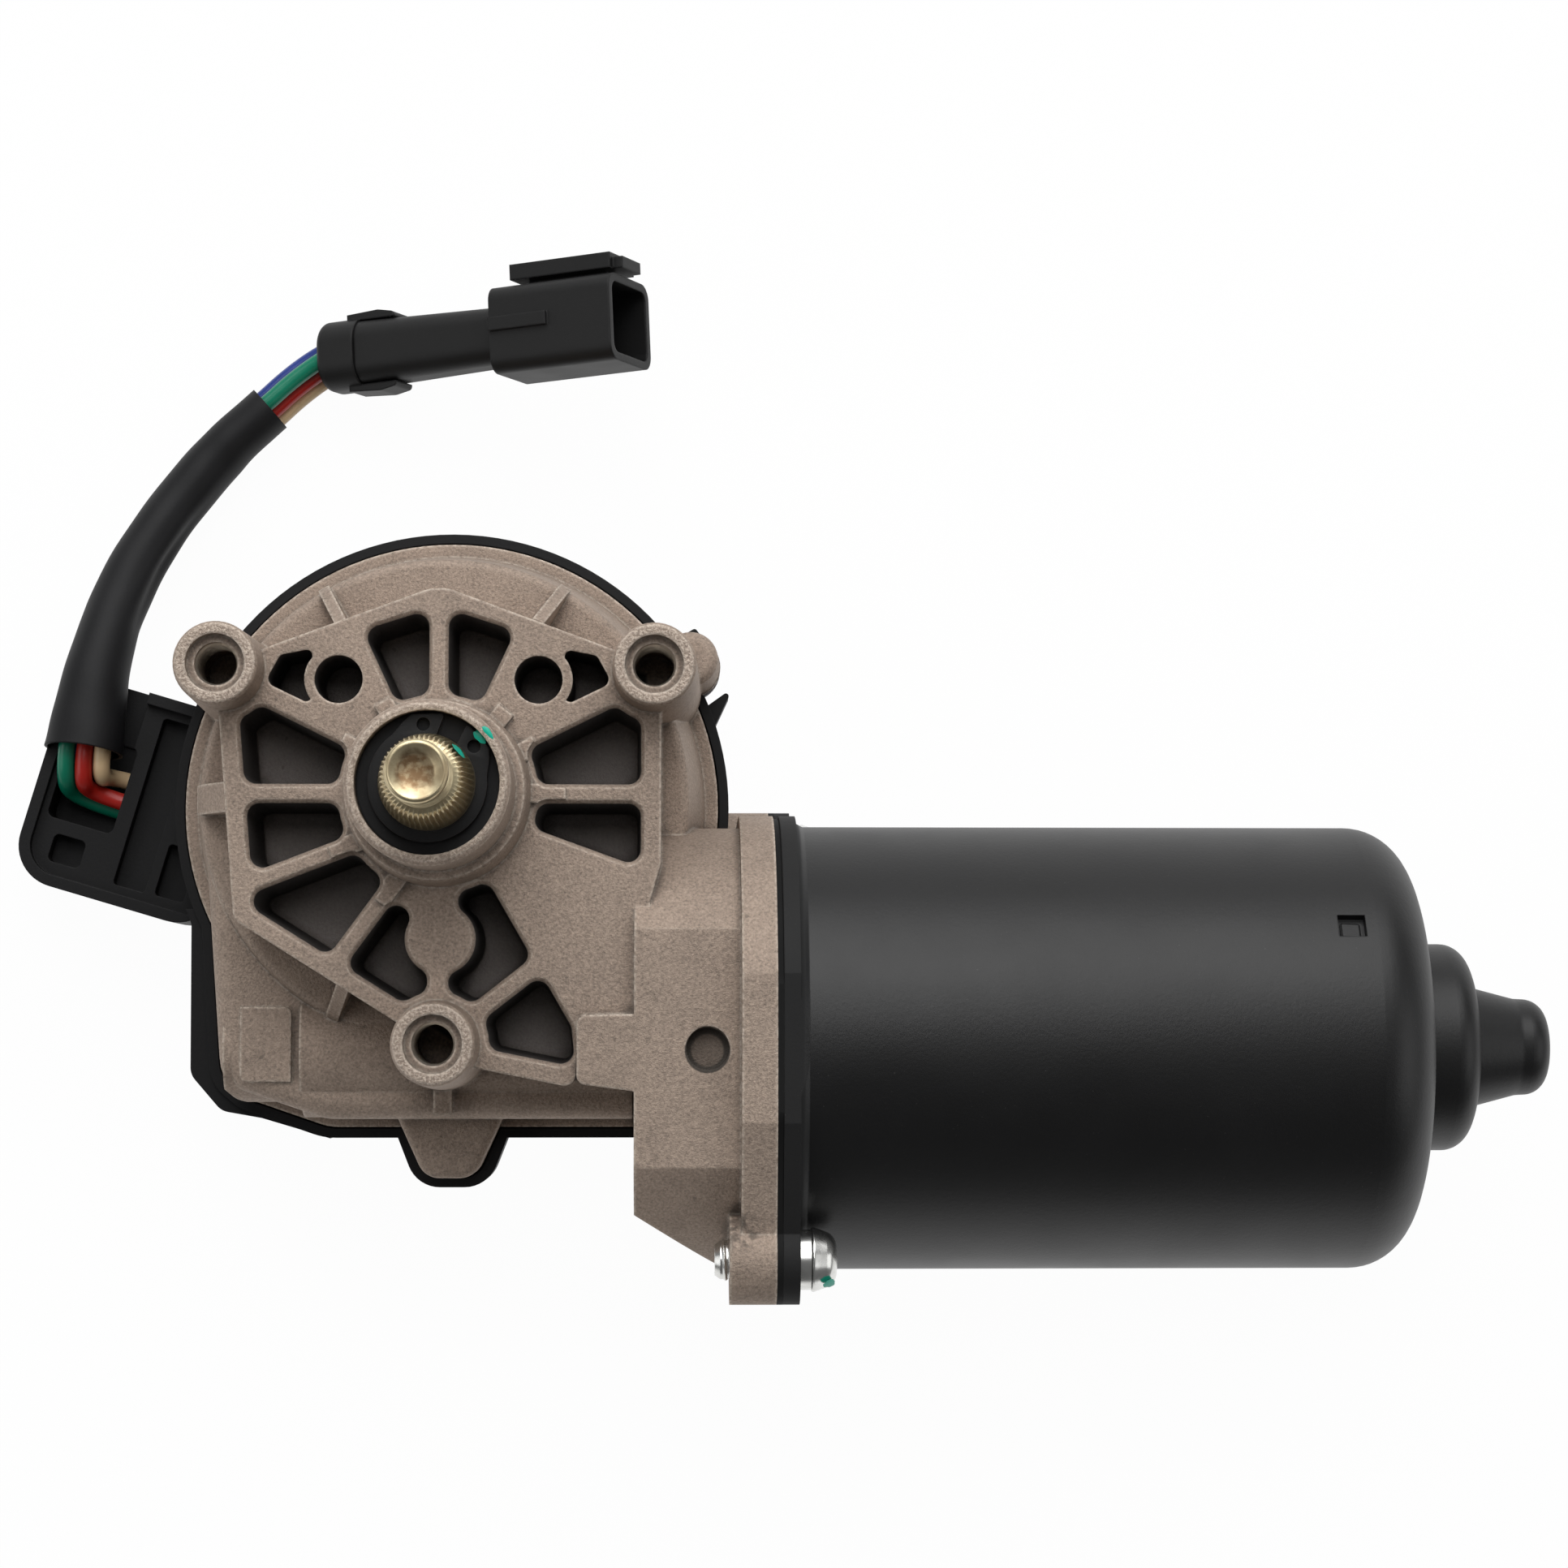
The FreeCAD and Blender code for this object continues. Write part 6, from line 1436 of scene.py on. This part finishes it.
@dataclass
class Studio:
    """Pale floor, soft light and the photograph's camera."""

    floor_z: float = -0.0612
    floor_size: float = 6.0
    floor_white: float = 0.97
    sky: float = 0.13
    eye: tuple[float, float, float] = (0.03065, -0.0308, 0.450)
    target: tuple[float, float, float] = (0.0448, 0.0008, 0.0)
    lens: float = 80.76
    sensor: float = 36.0
    lit: tuple[float, float, float] = (0.04, -0.01, -0.03)
    panels: tuple[Panel, ...] = (
        Panel("top_lamp", (0.04, 0.41, 0.98), (0.40, 0.54), 3.6),
        Panel("wall_lamp", (0.04, 0.88, 0.66), (1.5, 0.9), 2.8),
        Panel("left_lamp", (-0.95, -0.1, 0.6), (0.9, 0.7), 1.35),
        Panel("right_lamp", (1.0, -0.1, 0.6), (0.9, 0.7), 1.25))

    def camera(self) -> None:
        """Puts the camera where the photograph was taken from, with +Y up."""
        data = bpy.data.cameras.new("camera")
        data.lens = self.lens
        data.sensor_width = self.sensor
        data.clip_start = 0.01
        camera = bpy.data.objects.new("camera", data)
        bpy.context.scene.collection.objects.link(camera)
        look = (Vector(self.eye) - Vector(self.target)).normalized()
        right = Vector((0.0, 1.0, 0.0)).cross(look).normalized()
        turn = Matrix((right, look.cross(right), look)).transposed().to_4x4()
        camera.matrix_world = Matrix.Translation(Vector(self.eye)) @ turn
        bpy.context.scene.camera = camera

    @staticmethod
    def floor_paint(white: float) -> bpy.types.Material:
        """The floor's material, which takes shadows and is seen as nearly white.

        Args:
            white: How much of a camera's or a mirror's view is plain white.

        Returns:
            The material.
        """
        graph = ShaderGraph("pale_floor")
        colour = graph.mixed((0.93, 0.93, 0.93), (0.95, 0.95, 0.95), graph.noise(60.0, 2.0))
        matt = graph.node("ShaderNodeBsdfDiffuse", inputs={"Color": colour})
        glow = graph.node("ShaderNodeEmission", inputs={"Color": (1.0, 1.0, 1.0), "Strength": 1.0})
        ray = graph.node("ShaderNodeLightPath").outputs
        seen = Value(graph, ray["Is Camera Ray"]).most(Value(graph, ray["Is Glossy Ray"]))
        seen = seen.most(Value(graph, ray["Is Transmission Ray"])) * white
        inputs = {0: seen, 1: matt.outputs[0], 2: glow.outputs[0]}
        return graph.closed(graph.node("ShaderNodeMixShader", inputs=inputs))

    def floor(self) -> None:
        """A wide pale floor just below the motor."""
        mesh = bmesh.new()
        bmesh.ops.create_grid(mesh, x_segments=1, y_segments=1, size=self.floor_size)
        bmesh.ops.translate(mesh, verts=mesh.verts, vec=(0.0, 0.0, self.floor_z))
        data = bpy.data.meshes.new("floor")
        mesh.to_mesh(data)
        mesh.free()
        floor = bpy.data.objects.new("floor", data)
        bpy.context.scene.collection.objects.link(floor)
        data.materials.append(self.floor_paint(self.floor_white))

    def lamp(self, panel: Panel) -> None:
        """Hangs one panel so that it looks at the motor.

        Args:
            panel: The panel.
        """
        data = bpy.data.lights.new(panel.name, "AREA")
        data.shape = "RECTANGLE"
        data.size, data.size_y = panel.size
        data.energy = panel.glow * math.pi * panel.size[0] * panel.size[1]
        lamp = bpy.data.objects.new(panel.name, data)
        lamp.visible_camera = False
        bpy.context.scene.collection.objects.link(lamp)
        place = Vector(panel.place)
        aim = (place - Vector(self.lit)).to_track_quat("Z", "Y").to_matrix().to_4x4()
        lamp.matrix_world = Matrix.Translation(place) @ aim

    def build(self) -> None:
        """Sets up the world, the lamps, the floor and the camera."""
        scene = bpy.context.scene
        scene.view_settings.view_transform = "Standard"
        world = bpy.data.worlds.new("studio")
        world.use_nodes = True
        background = world.node_tree.nodes["Background"]
        background.inputs["Color"].default_value = (1.0, 1.0, 1.0, 1.0)
        background.inputs["Strength"].default_value = self.sky
        scene.world = world
        for panel in self.panels:
            self.lamp(panel)
        self.floor()
        self.camera()


def main() -> None:
    """Builds the studio and every sub-assembly in order."""
    logging.basicConfig(level=logging.INFO, format="%(name)s: %(message)s")
    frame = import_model()
    Studio().build()
    finishes = Finishes()
    for kind in (GearHousing, GearCover, OutputDrive, Armature, MotorCan, Harness):
        kind(frame, finishes).build()
        LOG.info("built %s", kind.__name__)


if __name__ == "__main__":
    main()
